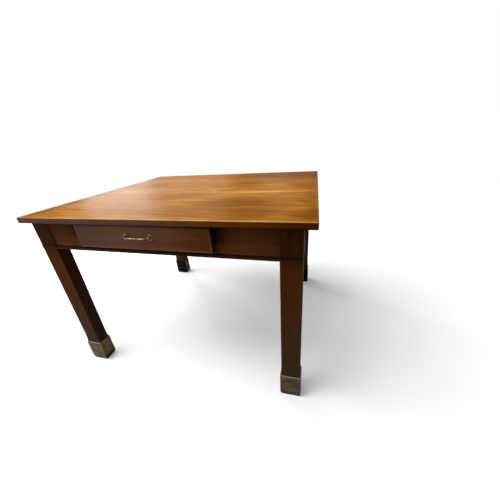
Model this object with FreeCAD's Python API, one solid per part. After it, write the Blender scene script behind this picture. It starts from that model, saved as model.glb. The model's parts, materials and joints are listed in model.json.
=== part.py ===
import FreeCAD, Part
import math
import os

os.makedirs("parts", exist_ok=True)

Vector = FreeCAD.Vector

# All lengths are in millimetres. The desk stands on Z = 0, its length runs along X,
# its front faces -Y, and the origin is the bottom centre of its bounding box.

# Worktop
top_length = 1116.0
top_depth = 970.0
top_thickness = 22.0
desk_height = 760.0
top_board_count = 5
top_corner_radius = 4.0
top_upper_round = 2.5
top_lower_round = 1.5
tongue_width = 20.0
tongue_thickness = 6.0
tongue_end_margin = 60.0

# Legs and corner posts
leg_width = 72.0
leg_depth = 50.0
side_overhang = 38.0
front_overhang = 19.0
back_overhang = 38.0
flare_reach = 2.0
flare_height = 40.0

# Brass shoes
shoe_height = 110.0
shoe_proud = 5.0
shoe_wall = 3.0
shoe_floor = 5.0
shoe_bevel_height = 12.0
shoe_bevel_depth = 3.0
shoe_edge = 1.2

# Carcass
apron_height = 100.0
base_thickness = 13.0
base_round = 2.0
panel_recess = 5.0
panel_thickness = 22.0
tenon_length = 22.0
tenon_thickness = 8.0
tenon_shoulder = 12.0

# Drawer opening and its frame
drawer_offset = -30.0
drawer_front_width = 534.0
drawer_front_height = 88.0
drawer_front_thickness = 20.0
drawer_front_top_gap = 2.0
drawer_front_round = 4.0
drawer_lip = 9.0
drawer_seat_gap = 0.4
upper_rail_height = 18.0
lower_rail_height = 17.0
front_rail_depth = 60.0
rail_tenon_length = 15.0
rail_tenon_thickness = 10.0
rail_tenon_shoulder = 3.0
runner_width = 34.0
guide_width = 12.0
guide_height = 20.0
stub_length = 8.0
stub_height = 8.0

# Drawer box
drawer_box_length = 540.0
drawer_side_thickness = 12.0
drawer_side_gap = 1.0
drawer_run_gap = 0.3
drawer_top_gap = 2.0
drawer_back_thickness = 12.0
drawer_back_inset = 10.0
drawer_back_drop = 6.0
housing_depth = 4.0
drawer_bottom_thickness = 6.0
drawer_bottom_raise = 8.0
bottom_groove_depth = 5.0
dovetail_count = 2
dovetail_length = 13.0
dovetail_neck_share = 0.40
dovetail_end_share = 0.62

# Handle
handle_spacing = 96.0
handle_drop = 39.0
handle_projection = 18.0
handle_bar_diameter = 6.0
handle_shoulder = 10.0
handle_bend_radius = 6.0
handle_foot_diameter = 9.0
handle_foot_length = 4.0
rosette_diameter = 26.0
rosette_thickness = 2.5
rosette_boss_diameter = 13.0
rosette_boss_height = 1.5
handle_screw_diameter = 4.0
handle_screw_bite = 3.0
handle_screw_head_diameter = 9.0
handle_screw_head_height = 2.5

# Leg fixings
stud_diameter = 12.0
stud_in_leg = 75.0
stud_in_post = 48.0
insert_diameter = 20.0
insert_length = 40.0

# Wood screws
screw_diameter = 5.0
screw_head_diameter = 10.0
screw_head_height = 3.0
shoe_screw_length = 45.0
top_screw_length = 32.0
bottom_screw_diameter = 3.0
bottom_screw_length = 20.0
bottom_screw_head_diameter = 6.0
bottom_screw_head_height = 2.0
bottom_screw_count = 3

# Buttons that hold the top
button_length = 40.0
button_width = 34.0
button_thickness = 18.0
button_tongue = 9.0
button_tongue_thickness = 8.0
button_end_share = 0.25

# Fits
fit_gap = 0.2
cut_overrun = 5.0
same_place = 0.001

# Places that follow from the sizes
top_underside = desk_height - top_thickness
carcass_bottom = top_underside - apron_height
base_bottom = carcass_bottom - base_thickness
panel_set = front_overhang + panel_recess
drawer_face_set = panel_set - drawer_seat_gap - drawer_front_thickness
handle_reach = handle_projection + handle_bar_diameter / 2 - drawer_face_set
overall_depth = top_depth + handle_reach
top_back = overall_depth / 2
top_front = top_back - top_depth
top_end = top_length / 2
leg_face_x = top_end - side_overhang
leg_x = leg_face_x - leg_width / 2
post_inner_x = leg_face_x - leg_width
leg_face_front = top_front + front_overhang
leg_face_back = top_back - back_overhang
post_inner_front = leg_face_front + leg_depth
post_inner_back = leg_face_back - leg_depth
panel_front = top_front + panel_set
panel_back = panel_front + panel_thickness
back_rail_face = leg_face_back - panel_recess
back_rail_inner = back_rail_face - panel_thickness
side_rail_face = leg_face_x - panel_recess
opening_half = drawer_front_width / 2 - drawer_lip
opening_left = drawer_offset - opening_half
opening_right = drawer_offset + opening_half
runner_top = carcass_bottom + lower_rail_height
kicker_bottom = top_underside - upper_rail_height
front_rail_back = panel_front + front_rail_depth
drawer_face = top_front + drawer_face_set
drawer_front_back = drawer_face + drawer_front_thickness
drawer_front_top = top_underside - drawer_front_top_gap
drawer_front_bottom = drawer_front_top - drawer_front_height
drawer_half = opening_half - drawer_side_gap
side_bottom = runner_top + drawer_run_gap
side_top = kicker_bottom - drawer_top_gap
box_back = drawer_front_back + drawer_box_length
bottom_under = side_bottom + drawer_bottom_raise
bottom_over = bottom_under + drawer_bottom_thickness
handle_z = drawer_front_top - handle_drop
corners = {
    "front_left": (-leg_x, leg_face_front + leg_depth / 2),
    "front_right": (leg_x, leg_face_front + leg_depth / 2),
    "back_left": (-leg_x, leg_face_back - leg_depth / 2),
    "back_right": (leg_x, leg_face_back - leg_depth / 2),
}


def box(x_low, x_high, y_low, y_high, z_low, z_high):
    """A box between two corners."""
    corner = Vector(x_low, y_low, z_low)
    return Part.makeBox(x_high - x_low, y_high - y_low, z_high - z_low, corner)


def grown(shape, gap):
    """The bounding box of a plain block, larger by a gap on every side."""
    b = shape.BoundBox
    return box(b.XMin - gap, b.XMax + gap, b.YMin - gap, b.YMax + gap, b.ZMin - gap, b.ZMax + gap)


def prism(points, direction):
    """A straight prism over a closed outline."""
    outline = Part.makePolygon(points + [points[0]])
    return Part.Face(outline).extrude(direction)


def rounded(shape, radius, keep):
    """The shape with a round on each edge that the test keeps."""
    return shape.makeFillet(radius, [edge for edge in shape.Edges if keep(edge.BoundBox)])


def is_upright(b):
    """Whether an edge's box is a vertical line."""
    return b.XLength < same_place and b.YLength < same_place


def is_level_at(z):
    """A test for edges that lie flat at one height."""
    return lambda b: abs(b.ZMin - z) < same_place and abs(b.ZMax - z) < same_place


def mirrored_x(shape):
    """The shape mirrored across the desk's middle plane."""
    return shape.mirror(Vector(0, 0, 0), Vector(1, 0, 0))


def mirrored_y(shape):
    """The shape mirrored across the plane midway between the front and back legs."""
    return shape.mirror(Vector(0, (leg_face_front + leg_face_back) / 2, 0), Vector(0, 1, 0))


def save(name, shape):
    """Write one node."""
    shape.exportStep("parts/" + name + ".step")


def screw(head, direction, diameter, length, head_diameter, head_height, gap):
    """A countersunk screw, or its hole where the gap is above zero."""
    shank = Part.makeCylinder(diameter / 2 + gap, length + gap, head, direction)
    cone = Part.makeCone(head_diameter / 2 + gap, diameter / 2 + gap, head_height, head, direction)
    return shank.fuse(cone).removeSplitter()


def tenon_x(face_x, sign, y_middle, z_low, z_high, length, thickness):
    """A tenon that stands out of a face across X."""
    ends = sorted((face_x, face_x + sign * length))
    return box(ends[0], ends[1], y_middle - thickness / 2, y_middle + thickness / 2, z_low, z_high)


def tenon_y(face_y, sign, x_middle, z_low, z_high, length, thickness):
    """A tenon that stands out of a face across Y."""
    ends = sorted((face_y, face_y + sign * length))
    return box(x_middle - thickness / 2, x_middle + thickness / 2, ends[0], ends[1], z_low, z_high)


def apron_tenons():
    """The tenons of panels and rails, by the corner post that takes them."""
    low = carcass_bottom + tenon_shoulder
    high = top_underside - tenon_shoulder
    front_y = (panel_front + panel_back) / 2
    back_y = (back_rail_face + back_rail_inner) / 2
    side_x = side_rail_face - panel_thickness / 2
    size = (low, high, tenon_length, tenon_thickness)
    found = {}
    for name in corners:
        x_sign = -1 if "left" in name else 1
        at_front = "front" in name
        cross_y = front_y if at_front else back_y
        inner_y = post_inner_front if at_front else post_inner_back
        y_sign = -1 if at_front else 1
        across = tenon_x(x_sign * post_inner_x, x_sign, cross_y, *size)
        along = tenon_y(inner_y, y_sign, x_sign * side_x, *size)
        found[name] = (across, along)
    return found


def top_screw_places():
    """Head points of the screws that go up into the top, and whether a button holds them."""
    side_x = side_rail_face - panel_thickness - button_length / 2
    back_y = back_rail_inner - button_length / 2
    span_y = post_inner_back - post_inner_front
    places = []
    for share, sign in ((button_end_share, -1), (1 - button_end_share, 1)):
        y = post_inner_front + span_y * share
        places.append(("left", Vector(-side_x, y, top_underside - button_thickness)))
        places.append(("right", Vector(side_x, y, top_underside - button_thickness)))
        kicker_edge = drawer_offset + sign * (opening_half + guide_width)
        x = (kicker_edge + sign * post_inner_x) / 2
        places.append(("back", Vector(x, back_y, top_underside - button_thickness)))
        rail_x = opening_left + (opening_right - opening_left) * share
        rail_y = (panel_front + front_rail_back) / 2
        places.append(("front", Vector(rail_x, rail_y, top_underside - upper_rail_height)))
    return places


def top_screw(head, gap):
    """One of the screws that hold the top."""
    up = Vector(0, 0, 1)
    return screw(head, up, screw_diameter, top_screw_length, screw_head_diameter, screw_head_height, gap)


def top_boards():
    """The worktop: boards glued edge to edge with loose tongues."""
    slab = box(-top_end, top_end, top_front, top_back, top_underside, desk_height)
    slab = rounded(slab, top_corner_radius, is_upright)
    slab = rounded(slab, top_upper_round, is_level_at(desk_height))
    slab = rounded(slab, top_lower_round, is_level_at(top_underside))
    holes = [top_screw(head, fit_gap) for side, head in top_screw_places()]
    tongues = []
    board_width = top_depth / top_board_count
    middle = top_underside + top_thickness / 2
    tongue_end = top_end - tongue_end_margin
    for joint in range(1, top_board_count):
        y = top_front + joint * board_width
        tongues.append(box(-tongue_end, tongue_end, y - tongue_width / 2, y + tongue_width / 2,
                           middle - tongue_thickness / 2, middle + tongue_thickness / 2))
    cuts = holes + [grown(tongue, fit_gap) for tongue in tongues]
    for number in range(top_board_count):
        low = top_front + number * board_width
        strip = box(-top_length, top_length, low, low + board_width, 0, desk_height + top_thickness)
        save("top_board_" + str(number + 1), slab.common(strip).cut(cuts))
    save("top_tongues", Part.makeCompound(tongues))


def leg_studs():
    """The threaded studs, from each leg through the base frame into the post."""
    bottom = base_bottom - stud_in_leg
    length = stud_in_leg + base_thickness + stud_in_post
    return [Part.makeCylinder(stud_diameter / 2, length, Vector(x, y, bottom)) for x, y in corners.values()]


def stud_holes():
    """Clearance holes round the studs."""
    bottom = base_bottom - stud_in_leg - fit_gap
    length = stud_in_leg + base_thickness + stud_in_post + 2 * fit_gap
    radius = stud_diameter / 2 + fit_gap
    return [Part.makeCylinder(radius, length, Vector(x, y, bottom)) for x, y in corners.values()]


def post_inserts():
    """Threaded inserts let into the bottom of the posts."""
    found = []
    for x, y in corners.values():
        base = Vector(x, y, carcass_bottom)
        outside = Part.makeCylinder(insert_diameter / 2, insert_length, base)
        inside = Part.makeCylinder(stud_diameter / 2 + fit_gap, insert_length, base)
        found.append(outside.cut(inside))
    return found


def corner_posts():
    """The four posts that tie the aprons together above the legs."""
    tenons = apron_tenons()
    half_x = leg_width / 2
    half_y = leg_depth / 2
    insert_hole = insert_diameter / 2 + fit_gap
    for name, (x, y) in corners.items():
        post = box(x - half_x, x + half_x, y - half_y, y + half_y, carcass_bottom, top_underside)
        socket = Part.makeCylinder(insert_hole, insert_length + fit_gap, Vector(x, y, carcass_bottom))
        mortises = [grown(tenon, fit_gap) for tenon in tenons[name]]
        save("corner_post_" + name, post.cut(stud_holes() + [socket] + mortises))


def front_rail_tenons(z_low, z_high):
    """The two tenons of a front rail, one into each front panel."""
    y = (panel_front + panel_back) / 2
    low = z_low + rail_tenon_shoulder
    high = z_high - rail_tenon_shoulder
    left = tenon_x(opening_left, -1, y, low, high, rail_tenon_length, rail_tenon_thickness)
    right = tenon_x(opening_right, 1, y, low, high, rail_tenon_length, rail_tenon_thickness)
    return left, right


def stub_tenons(face_y, sign, z_low, z_high):
    """Stub tenons of the left and right runner, or kicker, into one rail."""
    middle = (z_low + z_high) / 2
    width = runner_width / 2
    return [tenon_y(face_y, sign, x, middle - stub_height / 2, middle + stub_height / 2, stub_length, width)
            for x in runner_middles()]


def runner_middles():
    """Middle lines of the two runners, under the drawer's sides and the guides."""
    outer = opening_half + guide_width
    middle = outer - runner_width / 2
    return drawer_offset - middle, drawer_offset + middle


def front_panels():
    """The fixed panels on both sides of the drawer."""
    tenons = apron_tenons()
    upper = front_rail_tenons(kicker_bottom, top_underside)
    lower = front_rail_tenons(carcass_bottom, runner_top)
    spans = {"left": (-post_inner_x, opening_left), "right": (opening_right, post_inner_x)}
    for number, (side, (x_low, x_high)) in enumerate(spans.items()):
        panel = box(x_low, x_high, panel_front, panel_back, carcass_bottom, top_underside)
        panel = panel.fuse(tenons["front_" + side][0]).removeSplitter()
        mortises = [grown(upper[number], fit_gap), grown(lower[number], fit_gap)]
        save("front_panel_" + side, panel.cut(mortises))


def front_rails():
    """The rails above and below the drawer."""
    upper = box(opening_left, opening_right, panel_front, front_rail_back, kicker_bottom, top_underside)
    lower = box(opening_left, opening_right, panel_front, front_rail_back, carcass_bottom, runner_top)
    upper = upper.fuse(front_rail_tenons(kicker_bottom, top_underside)).removeSplitter()
    lower = lower.fuse(front_rail_tenons(carcass_bottom, runner_top)).removeSplitter()
    screws = [top_screw(head, fit_gap) for side, head in top_screw_places() if side == "front"]
    upper_stubs = stub_tenons(front_rail_back, -1, kicker_bottom, top_underside)
    lower_stubs = stub_tenons(front_rail_back, -1, carcass_bottom, runner_top)
    save("front_rail_upper", upper.cut(screws + [grown(stub, fit_gap) for stub in upper_stubs]))
    save("front_rail_lower", lower.cut([grown(stub, fit_gap) for stub in lower_stubs]))


def back_rail():
    """The rail across the back, with sockets for runners, kickers and buttons."""
    tenons = apron_tenons()
    rail = box(-post_inner_x, post_inner_x, back_rail_inner, back_rail_face, carcass_bottom, top_underside)
    rail = rail.fuse([tenons["back_left"][0], tenons["back_right"][0]]).removeSplitter()
    stubs = stub_tenons(back_rail_inner, 1, carcass_bottom, runner_top)
    stubs = stubs + stub_tenons(back_rail_inner, 1, kicker_bottom, top_underside)
    save("back_rail", rail.cut([grown(stub, fit_gap) for stub in stubs] + button_slots("back")))


def side_rails():
    """The rails across the two ends."""
    tenons = apron_tenons()
    for side, sign in (("left", -1), ("right", 1)):
        ends = sorted((sign * side_rail_face, sign * (side_rail_face - panel_thickness)))
        rail = box(ends[0], ends[1], post_inner_front, post_inner_back, carcass_bottom, top_underside)
        rail = rail.fuse([tenons["front_" + side][1], tenons["back_" + side][1]]).removeSplitter()
        save("side_rail_" + side, rail.cut(button_slots(side)))


def base_frame():
    """The mitred frame under the carcass, whose edge shows as a strip all round."""
    past_inner_share = 1 + cut_overrun / leg_width
    reach_x = leg_width * past_inner_share
    reach_y = leg_depth * past_inner_share
    long_board = box(-leg_face_x, leg_face_x, leg_face_front, post_inner_front, base_bottom, carcass_bottom)
    long_board = rounded(long_board, base_round, lambda b: b.YLength < same_place and b.ZLength < same_place
                         and abs(b.YMin - leg_face_front) < same_place)
    short_board = box(-leg_face_x, -post_inner_x, leg_face_front, leg_face_back, base_bottom, carcass_bottom)
    short_board = rounded(short_board, base_round, lambda b: b.XLength < same_place and b.ZLength < same_place
                          and abs(b.XMin + leg_face_x) < same_place)
    up = Vector(0, 0, base_thickness)

    def corner_point(x, y):
        return Vector(x, y, base_bottom)

    ends = []
    for sign in (-1, 1):
        ends.append(prism([corner_point(sign * leg_face_x, leg_face_front),
                           corner_point(sign * (leg_face_x - reach_x), leg_face_front + reach_y),
                           corner_point(sign * leg_face_x, leg_face_front + reach_y)], up))
    front = long_board.cut(ends + stud_holes())
    tips = []
    for edge_y, sign in ((leg_face_front, -1), (leg_face_back, 1)):
        tips.append(prism([corner_point(-leg_face_x, edge_y),
                           corner_point(-leg_face_x + reach_x, edge_y - sign * reach_y),
                           corner_point(-leg_face_x + reach_x, edge_y)], up))
    left = short_board.cut(tips + stud_holes())
    save("base_frame_front", front)
    save("base_frame_back", mirrored_y(front))
    save("base_frame_left", left)
    save("base_frame_right", mirrored_x(left))


def leg_outline(half):
    """Half-width against height of a leg: shaft, hollow flare, and the tongue inside the shoe."""
    flare = half + flare_reach
    inner = half + shoe_proud - shoe_wall - fit_gap
    flare_top = shoe_height + flare_height
    radius = (flare_reach ** 2 + flare_height ** 2) / (2 * flare_reach)
    half_turn = math.asin(flare_height / radius) / 2
    tongue_bottom = shoe_floor + fit_gap

    def side(sign):
        start = Vector(sign * half, 0, flare_top)
        end = Vector(sign * flare, 0, shoe_height)
        out = radius * (1 - math.cos(half_turn))
        middle = Vector(sign * (half + out), 0, flare_top - radius * math.sin(half_turn))
        return start, middle, end

    start_l, middle_l, end_l = side(-1)
    start_r, middle_r, end_r = side(1)
    edges = [
        Part.LineSegment(Vector(-half, 0, base_bottom), start_l),
        Part.Arc(start_l, middle_l, end_l),
        Part.LineSegment(end_l, Vector(-inner, 0, shoe_height)),
        Part.LineSegment(Vector(-inner, 0, shoe_height), Vector(-inner, 0, tongue_bottom)),
        Part.LineSegment(Vector(-inner, 0, tongue_bottom), Vector(inner, 0, tongue_bottom)),
        Part.LineSegment(Vector(inner, 0, tongue_bottom), Vector(inner, 0, shoe_height)),
        Part.LineSegment(Vector(inner, 0, shoe_height), end_r),
        Part.Arc(end_r, middle_r, start_r),
        Part.LineSegment(start_r, Vector(half, 0, base_bottom)),
        Part.LineSegment(Vector(half, 0, base_bottom), Vector(-half, 0, base_bottom)),
    ]
    return Part.Face(Part.Wire([edge.toShape() for edge in edges]))


def legs():
    """The four legs, each cut on two sides to the same outline."""
    spread = leg_width + leg_depth
    sides = []
    for width, turn in ((leg_width, 0), (leg_depth, 90)):
        side = leg_outline(width / 2).extrude(Vector(0, spread, 0))
        side.translate(Vector(0, -spread / 2, 0))
        side.rotate(Vector(0, 0, 0), Vector(0, 0, 1), turn)
        sides.append(side)
    blank = sides[0].common(sides[1])
    cuts = stud_holes() + shoe_screws(fit_gap)
    for name, (x, y) in corners.items():
        leg = blank.copy()
        leg.translate(Vector(x, y, 0))
        save("leg_" + name, leg.cut(cuts))


def shoe_loft(levels):
    """A ruled solid round a leg, given as pairs of the distance from its faces and the height."""
    wires = []
    corner_signs = ((-1, -1), (1, -1), (1, 1), (-1, 1))
    for proud, z in levels:
        half_x = leg_width / 2 + proud
        half_y = leg_depth / 2 + proud
        points = [Vector(x_sign * half_x, y_sign * half_y, z) for x_sign, y_sign in corner_signs]
        wires.append(Part.makePolygon(points + [points[0]]))
    return Part.makeLoft(wires, True, True)


def shoe_screws(gap):
    """The screws that go up through the shoes into the legs, or their holes."""
    up = Vector(0, 0, 1)
    return [screw(Vector(x, y, 0), up, screw_diameter, shoe_screw_length,
                  screw_head_diameter, screw_head_height, gap) for x, y in corners.values()]


def shoes():
    """Brass shoes: a cup with a bevelled foot, whose top shows as a ledge round the leg."""
    cup = shoe_loft([
        (shoe_proud - shoe_bevel_depth, 0),
        (shoe_proud, shoe_bevel_height),
        (shoe_proud, shoe_height - shoe_edge),
        (shoe_proud - shoe_edge, shoe_height),
    ])
    pocket_proud = shoe_proud - shoe_wall
    cup = cup.cut(shoe_loft([(pocket_proud, shoe_floor), (pocket_proud, shoe_height + cut_overrun)]))
    for name, (x, y) in corners.items():
        shoe = cup.copy()
        shoe.translate(Vector(x, y, 0))
        save("shoe_" + name, shoe.cut(shoe_screws(fit_gap)))


def runners_and_guides():
    """What carries the drawer, keeps it straight and keeps it from tipping."""
    half = runner_width / 2
    for side, x, sign in zip(("left", "right"), runner_middles(), (-1, 1)):
        number = 0 if side == "left" else 1
        low = (carcass_bottom, runner_top)
        high = (kicker_bottom, top_underside)
        for name, (z_low, z_high) in (("drawer_runner_", low), ("drawer_kicker_", high)):
            bar = box(x - half, x + half, front_rail_back, back_rail_inner, z_low, z_high)
            ends = [stub_tenons(front_rail_back, -1, z_low, z_high)[number],
                    stub_tenons(back_rail_inner, 1, z_low, z_high)[number]]
            save(name + side, bar.fuse(ends).removeSplitter())
        inner = drawer_offset + sign * opening_half
        ends = sorted((inner, inner + sign * guide_width))
        save("drawer_guide_" + side, box(ends[0], ends[1], front_rail_back, back_rail_inner,
                                         runner_top, runner_top + guide_height))


def button_block(side, head):
    """A button under the top, whose tongue catches in a rail."""
    half_l = button_length / 2
    half_w = button_width / 2
    z_low = head.z
    tongue_high = z_low + button_tongue_thickness
    block = box(-half_l, half_l, -half_w, half_w, z_low, top_underside)
    tongue = box(half_l, half_l + button_tongue, -half_w, half_w, z_low, tongue_high)
    turn = {"right": 0, "back": 90, "left": 180}[side]
    shapes = []
    for shape in (block, tongue):
        shape.rotate(Vector(0, 0, 0), Vector(0, 0, 1), turn)
        shape.translate(Vector(head.x, head.y, 0))
        shapes.append(shape)
    return shapes


def button_slots(side):
    """The sockets in one rail for the buttons' tongues."""
    return [grown(button_block(kind, head)[1], fit_gap) for kind, head in top_screw_places() if kind == side]


def top_fixings():
    """Buttons and screws that hold the top down and let it move with the seasons."""
    buttons = []
    screws = []
    for side, head in top_screw_places():
        screws.append(top_screw(head, 0))
        if side != "front":
            block, tongue = button_block(side, head)
            buttons.append(block.fuse(tongue).removeSplitter().cut(top_screw(head, fit_gap)))
    save("top_buttons", Part.makeCompound(buttons))
    save("top_screws", Part.makeCompound(screws))


def dovetails(sign, gap):
    """The tails of one drawer side, let into the back of the drawer front."""
    outer = drawer_offset + sign * drawer_half
    inner = outer - sign * drawer_side_thickness
    low = min(outer, inner) - gap
    pitch = (side_top - side_bottom) / dovetail_count
    root = drawer_front_back
    tip = drawer_front_back - dovetail_length - gap
    tails = []
    for number in range(dovetail_count):
        middle = side_bottom + pitch * (number + 1 / 2)
        neck = pitch * dovetail_neck_share / 2 + gap
        end = pitch * dovetail_end_share / 2 + gap
        outline = [Vector(low, root, middle - neck), Vector(low, tip, middle - end),
                   Vector(low, tip, middle + end), Vector(low, root, middle + neck)]
        tails.append(prism(outline, Vector(drawer_side_thickness + 2 * gap, 0, 0)))
    return tails


def drawer_bottom_board(gap):
    """The drawer's bottom, or the groove that takes it."""
    edge = drawer_half - drawer_side_thickness + bottom_groove_depth + gap
    return box(drawer_offset - edge, drawer_offset + edge, drawer_front_back - bottom_groove_depth - gap,
               box_back, bottom_under - gap, bottom_over + gap)


def drawer_back_board(gap):
    """The drawer's back, or the housings that take it."""
    edge = drawer_half - drawer_side_thickness + housing_depth + gap
    back = box_back - drawer_back_inset
    return box(drawer_offset - edge, drawer_offset + edge, back - drawer_back_thickness - gap, back + gap,
               bottom_over + gap / 2, side_top - drawer_back_drop + gap)


def drawer_bottom_screws(gap):
    """Small screws from below, through the bottom into the drawer's back."""
    y = box_back - drawer_back_inset - drawer_back_thickness / 2
    edge = drawer_half - drawer_side_thickness
    up = Vector(0, 0, 1)
    found = []
    for number in range(bottom_screw_count):
        x = drawer_offset - edge + 2 * edge * (number + 1 / 2) / bottom_screw_count
        found.append(screw(Vector(x, y, bottom_under), up, bottom_screw_diameter, bottom_screw_length,
                           bottom_screw_head_diameter, bottom_screw_head_height, gap))
    return found


def handle_posts():
    """Centres of the handle's two posts on the drawer's face."""
    half = handle_spacing / 2
    return [Vector(drawer_offset + sign * half, drawer_face, handle_z) for sign in (-1, 1)]


def handle_screws(gap):
    """Screws from inside the drawer, through the front and a rosette into the handle."""
    forward = Vector(0, -1, 0)
    stand = rosette_thickness + rosette_boss_height
    length = drawer_front_thickness + stand + handle_screw_bite
    found = []
    for post in handle_posts():
        start = post + Vector(0, drawer_front_thickness, 0)
        shank = Part.makeCylinder(handle_screw_diameter / 2 + gap, length + gap, start, forward)
        head_base = start + Vector(0, handle_screw_head_height, 0)
        head = Part.makeCylinder(handle_screw_head_diameter / 2, handle_screw_head_height, head_base, forward)
        found.append(shank if gap else shank.fuse(head).removeSplitter())
    return found


def drawer_front():
    """The proud front, with rounded edges all round its face."""
    front = box(drawer_offset - drawer_front_width / 2, drawer_offset + drawer_front_width / 2,
                drawer_face, drawer_front_back, drawer_front_bottom, drawer_front_top)
    front = rounded(front, drawer_front_round, lambda b: b.YLength < same_place
                    and abs(b.YMin - drawer_face) < same_place)
    cuts = dovetails(-1, fit_gap) + dovetails(1, fit_gap)
    cuts = cuts + handle_screws(fit_gap) + [drawer_bottom_board(fit_gap)]
    save("drawer_front", front.cut(cuts))


def drawer_box():
    """Sides, back and bottom of the drawer."""
    for side, sign in (("left", -1), ("right", 1)):
        outer = drawer_offset + sign * drawer_half
        ends = sorted((outer, outer - sign * drawer_side_thickness))
        board = box(ends[0], ends[1], drawer_front_back, box_back, side_bottom, side_top)
        board = board.fuse(dovetails(sign, 0)).removeSplitter()
        save("drawer_side_" + side, board.cut([drawer_bottom_board(fit_gap), drawer_back_board(fit_gap)]))
    save("drawer_back", drawer_back_board(0).cut(drawer_bottom_screws(fit_gap)))
    save("drawer_bottom", drawer_bottom_board(0).cut(drawer_bottom_screws(fit_gap)))
    save("drawer_bottom_screws", Part.makeCompound(drawer_bottom_screws(0)))


def bent_path(points, radius):
    """A wire of straight runs with a tangent arc at each inner corner."""
    edges = []
    start = points[0]
    for before, corner, after in zip(points, points[1:], points[2:]):
        toward = (before - corner).normalize()
        away = (after - corner).normalize()
        half_angle = math.acos(max(-1, min(1, toward.dot(away)))) / 2
        reach = radius / math.tan(half_angle)
        arc_start = corner + toward * reach
        arc_end = corner + away * reach
        centre = corner + (toward + away).normalize() * (radius / math.sin(half_angle))
        arc_middle = centre + (corner - centre).normalize() * radius
        edges.append(Part.LineSegment(start, arc_start).toShape())
        edges.append(Part.Arc(arc_start, arc_middle, arc_end).toShape())
        start = arc_end
    edges.append(Part.LineSegment(start, points[-1]).toShape())
    return Part.Wire(edges)


def handle():
    """The bow handle: a bent rod on two short feet."""
    left, right = handle_posts()
    stand = rosette_thickness + rosette_boss_height
    forward = Vector(0, -1, 0)
    inward = Vector(handle_shoulder, 0, 0)
    foot_end = stand + handle_foot_length
    bar_out = forward * handle_projection
    points = [left + forward * foot_end, left + inward + bar_out, right - inward + bar_out,
              right + forward * foot_end]
    path = bent_path(points, handle_bend_radius)
    first_run = (points[1] - points[0]).normalize()
    section = Part.Wire(Part.makeCircle(handle_bar_diameter / 2, points[0], first_run))
    rod = path.makePipeShell([section], True, False)
    feet = [Part.makeCylinder(handle_foot_diameter / 2, handle_foot_length, post + forward * stand, forward)
            for post in (left, right)]
    knuckles = [Part.makeSphere(handle_foot_diameter / 2, post + forward * foot_end)
                for post in (left, right)]
    limit = box(left.x - rosette_diameter, right.x + rosette_diameter, drawer_face - overall_depth,
                drawer_face - stand, 0, desk_height)
    knuckles = [knuckle.common(limit) for knuckle in knuckles]
    bow = rod.fuse(feet + knuckles).removeSplitter()
    save("handle_bow", bow.cut(handle_screws(fit_gap)))
    save("handle_screws", Part.makeCompound(handle_screws(0)))


def rosettes():
    """Turned rosettes: a thin round plate with a low boss."""
    edge = rosette_diameter / 2
    boss = rosette_boss_diameter / 2
    stand = rosette_thickness + rosette_boss_height
    ease = rosette_thickness / 2
    plate_edge = [Vector(edge, 0, 0), Vector(edge, -ease, 0), Vector(edge - ease, -rosette_thickness, 0)]
    boss_edge = [Vector(boss + rosette_boss_height, -rosette_thickness, 0), Vector(boss, -stand, 0)]
    outline = [Vector(0, 0, 0)] + plate_edge + boss_edge + [Vector(0, -stand, 0)]
    blank = Part.Face(Part.makePolygon(outline + [outline[0]])).revolve(Vector(0, 0, 0), Vector(0, 1, 0), 360)
    for side, post in zip(("left", "right"), handle_posts()):
        rosette = blank.copy()
        rosette.translate(post)
        save("handle_rosette_" + side, rosette.cut(handle_screws(fit_gap)))


def main():
    """Write every node of the desk."""
    top_boards()
    top_fixings()
    corner_posts()
    front_panels()
    front_rails()
    back_rail()
    side_rails()
    base_frame()
    legs()
    shoes()
    runners_and_guides()
    drawer_front()
    drawer_box()
    handle()
    rosettes()
    save("leg_studs", Part.makeCompound(leg_studs()))
    save("post_inserts", Part.makeCompound(post_inserts()))
    save("shoe_screws", Part.makeCompound(shoe_screws(0)))


main()
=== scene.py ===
"""Looks of a desk: a waxed board top, dark stained joinery, brass shoes and a brass bow handle."""

import json
import logging
import math
from collections.abc import Callable, Iterable, Sequence
from dataclasses import dataclass, replace
from enum import Enum

import bmesh
import bpy
from mathutils import Matrix, Vector

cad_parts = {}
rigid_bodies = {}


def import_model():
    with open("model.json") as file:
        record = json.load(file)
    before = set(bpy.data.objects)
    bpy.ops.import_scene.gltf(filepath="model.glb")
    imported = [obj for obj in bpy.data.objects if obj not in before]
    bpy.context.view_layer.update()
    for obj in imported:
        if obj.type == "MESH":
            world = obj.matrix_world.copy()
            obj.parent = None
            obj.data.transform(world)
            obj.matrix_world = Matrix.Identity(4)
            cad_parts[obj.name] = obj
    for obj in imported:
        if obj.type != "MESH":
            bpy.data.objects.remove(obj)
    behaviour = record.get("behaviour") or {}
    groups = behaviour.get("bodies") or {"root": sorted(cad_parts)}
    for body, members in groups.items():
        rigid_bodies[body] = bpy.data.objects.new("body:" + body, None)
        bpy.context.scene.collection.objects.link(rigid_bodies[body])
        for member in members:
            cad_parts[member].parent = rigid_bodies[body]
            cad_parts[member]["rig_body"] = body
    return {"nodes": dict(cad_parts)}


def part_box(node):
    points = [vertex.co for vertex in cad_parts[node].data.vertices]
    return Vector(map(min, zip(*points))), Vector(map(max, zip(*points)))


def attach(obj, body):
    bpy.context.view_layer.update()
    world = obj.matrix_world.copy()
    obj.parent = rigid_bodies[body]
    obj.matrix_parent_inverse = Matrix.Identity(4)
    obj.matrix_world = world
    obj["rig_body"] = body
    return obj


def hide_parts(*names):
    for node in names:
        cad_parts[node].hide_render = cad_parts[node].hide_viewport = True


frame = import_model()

LOG = logging.getLogger("desk")
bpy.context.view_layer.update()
MM = 0.001
SAME = 0.01 * MM
SHARP_ANGLE = math.radians(50)
FRONT = Vector((0, -1, 0))
UP = Vector((0, 0, 1))
ALONG = Vector((1, 0, 0))
X, Y, Z = range(3)
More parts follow.
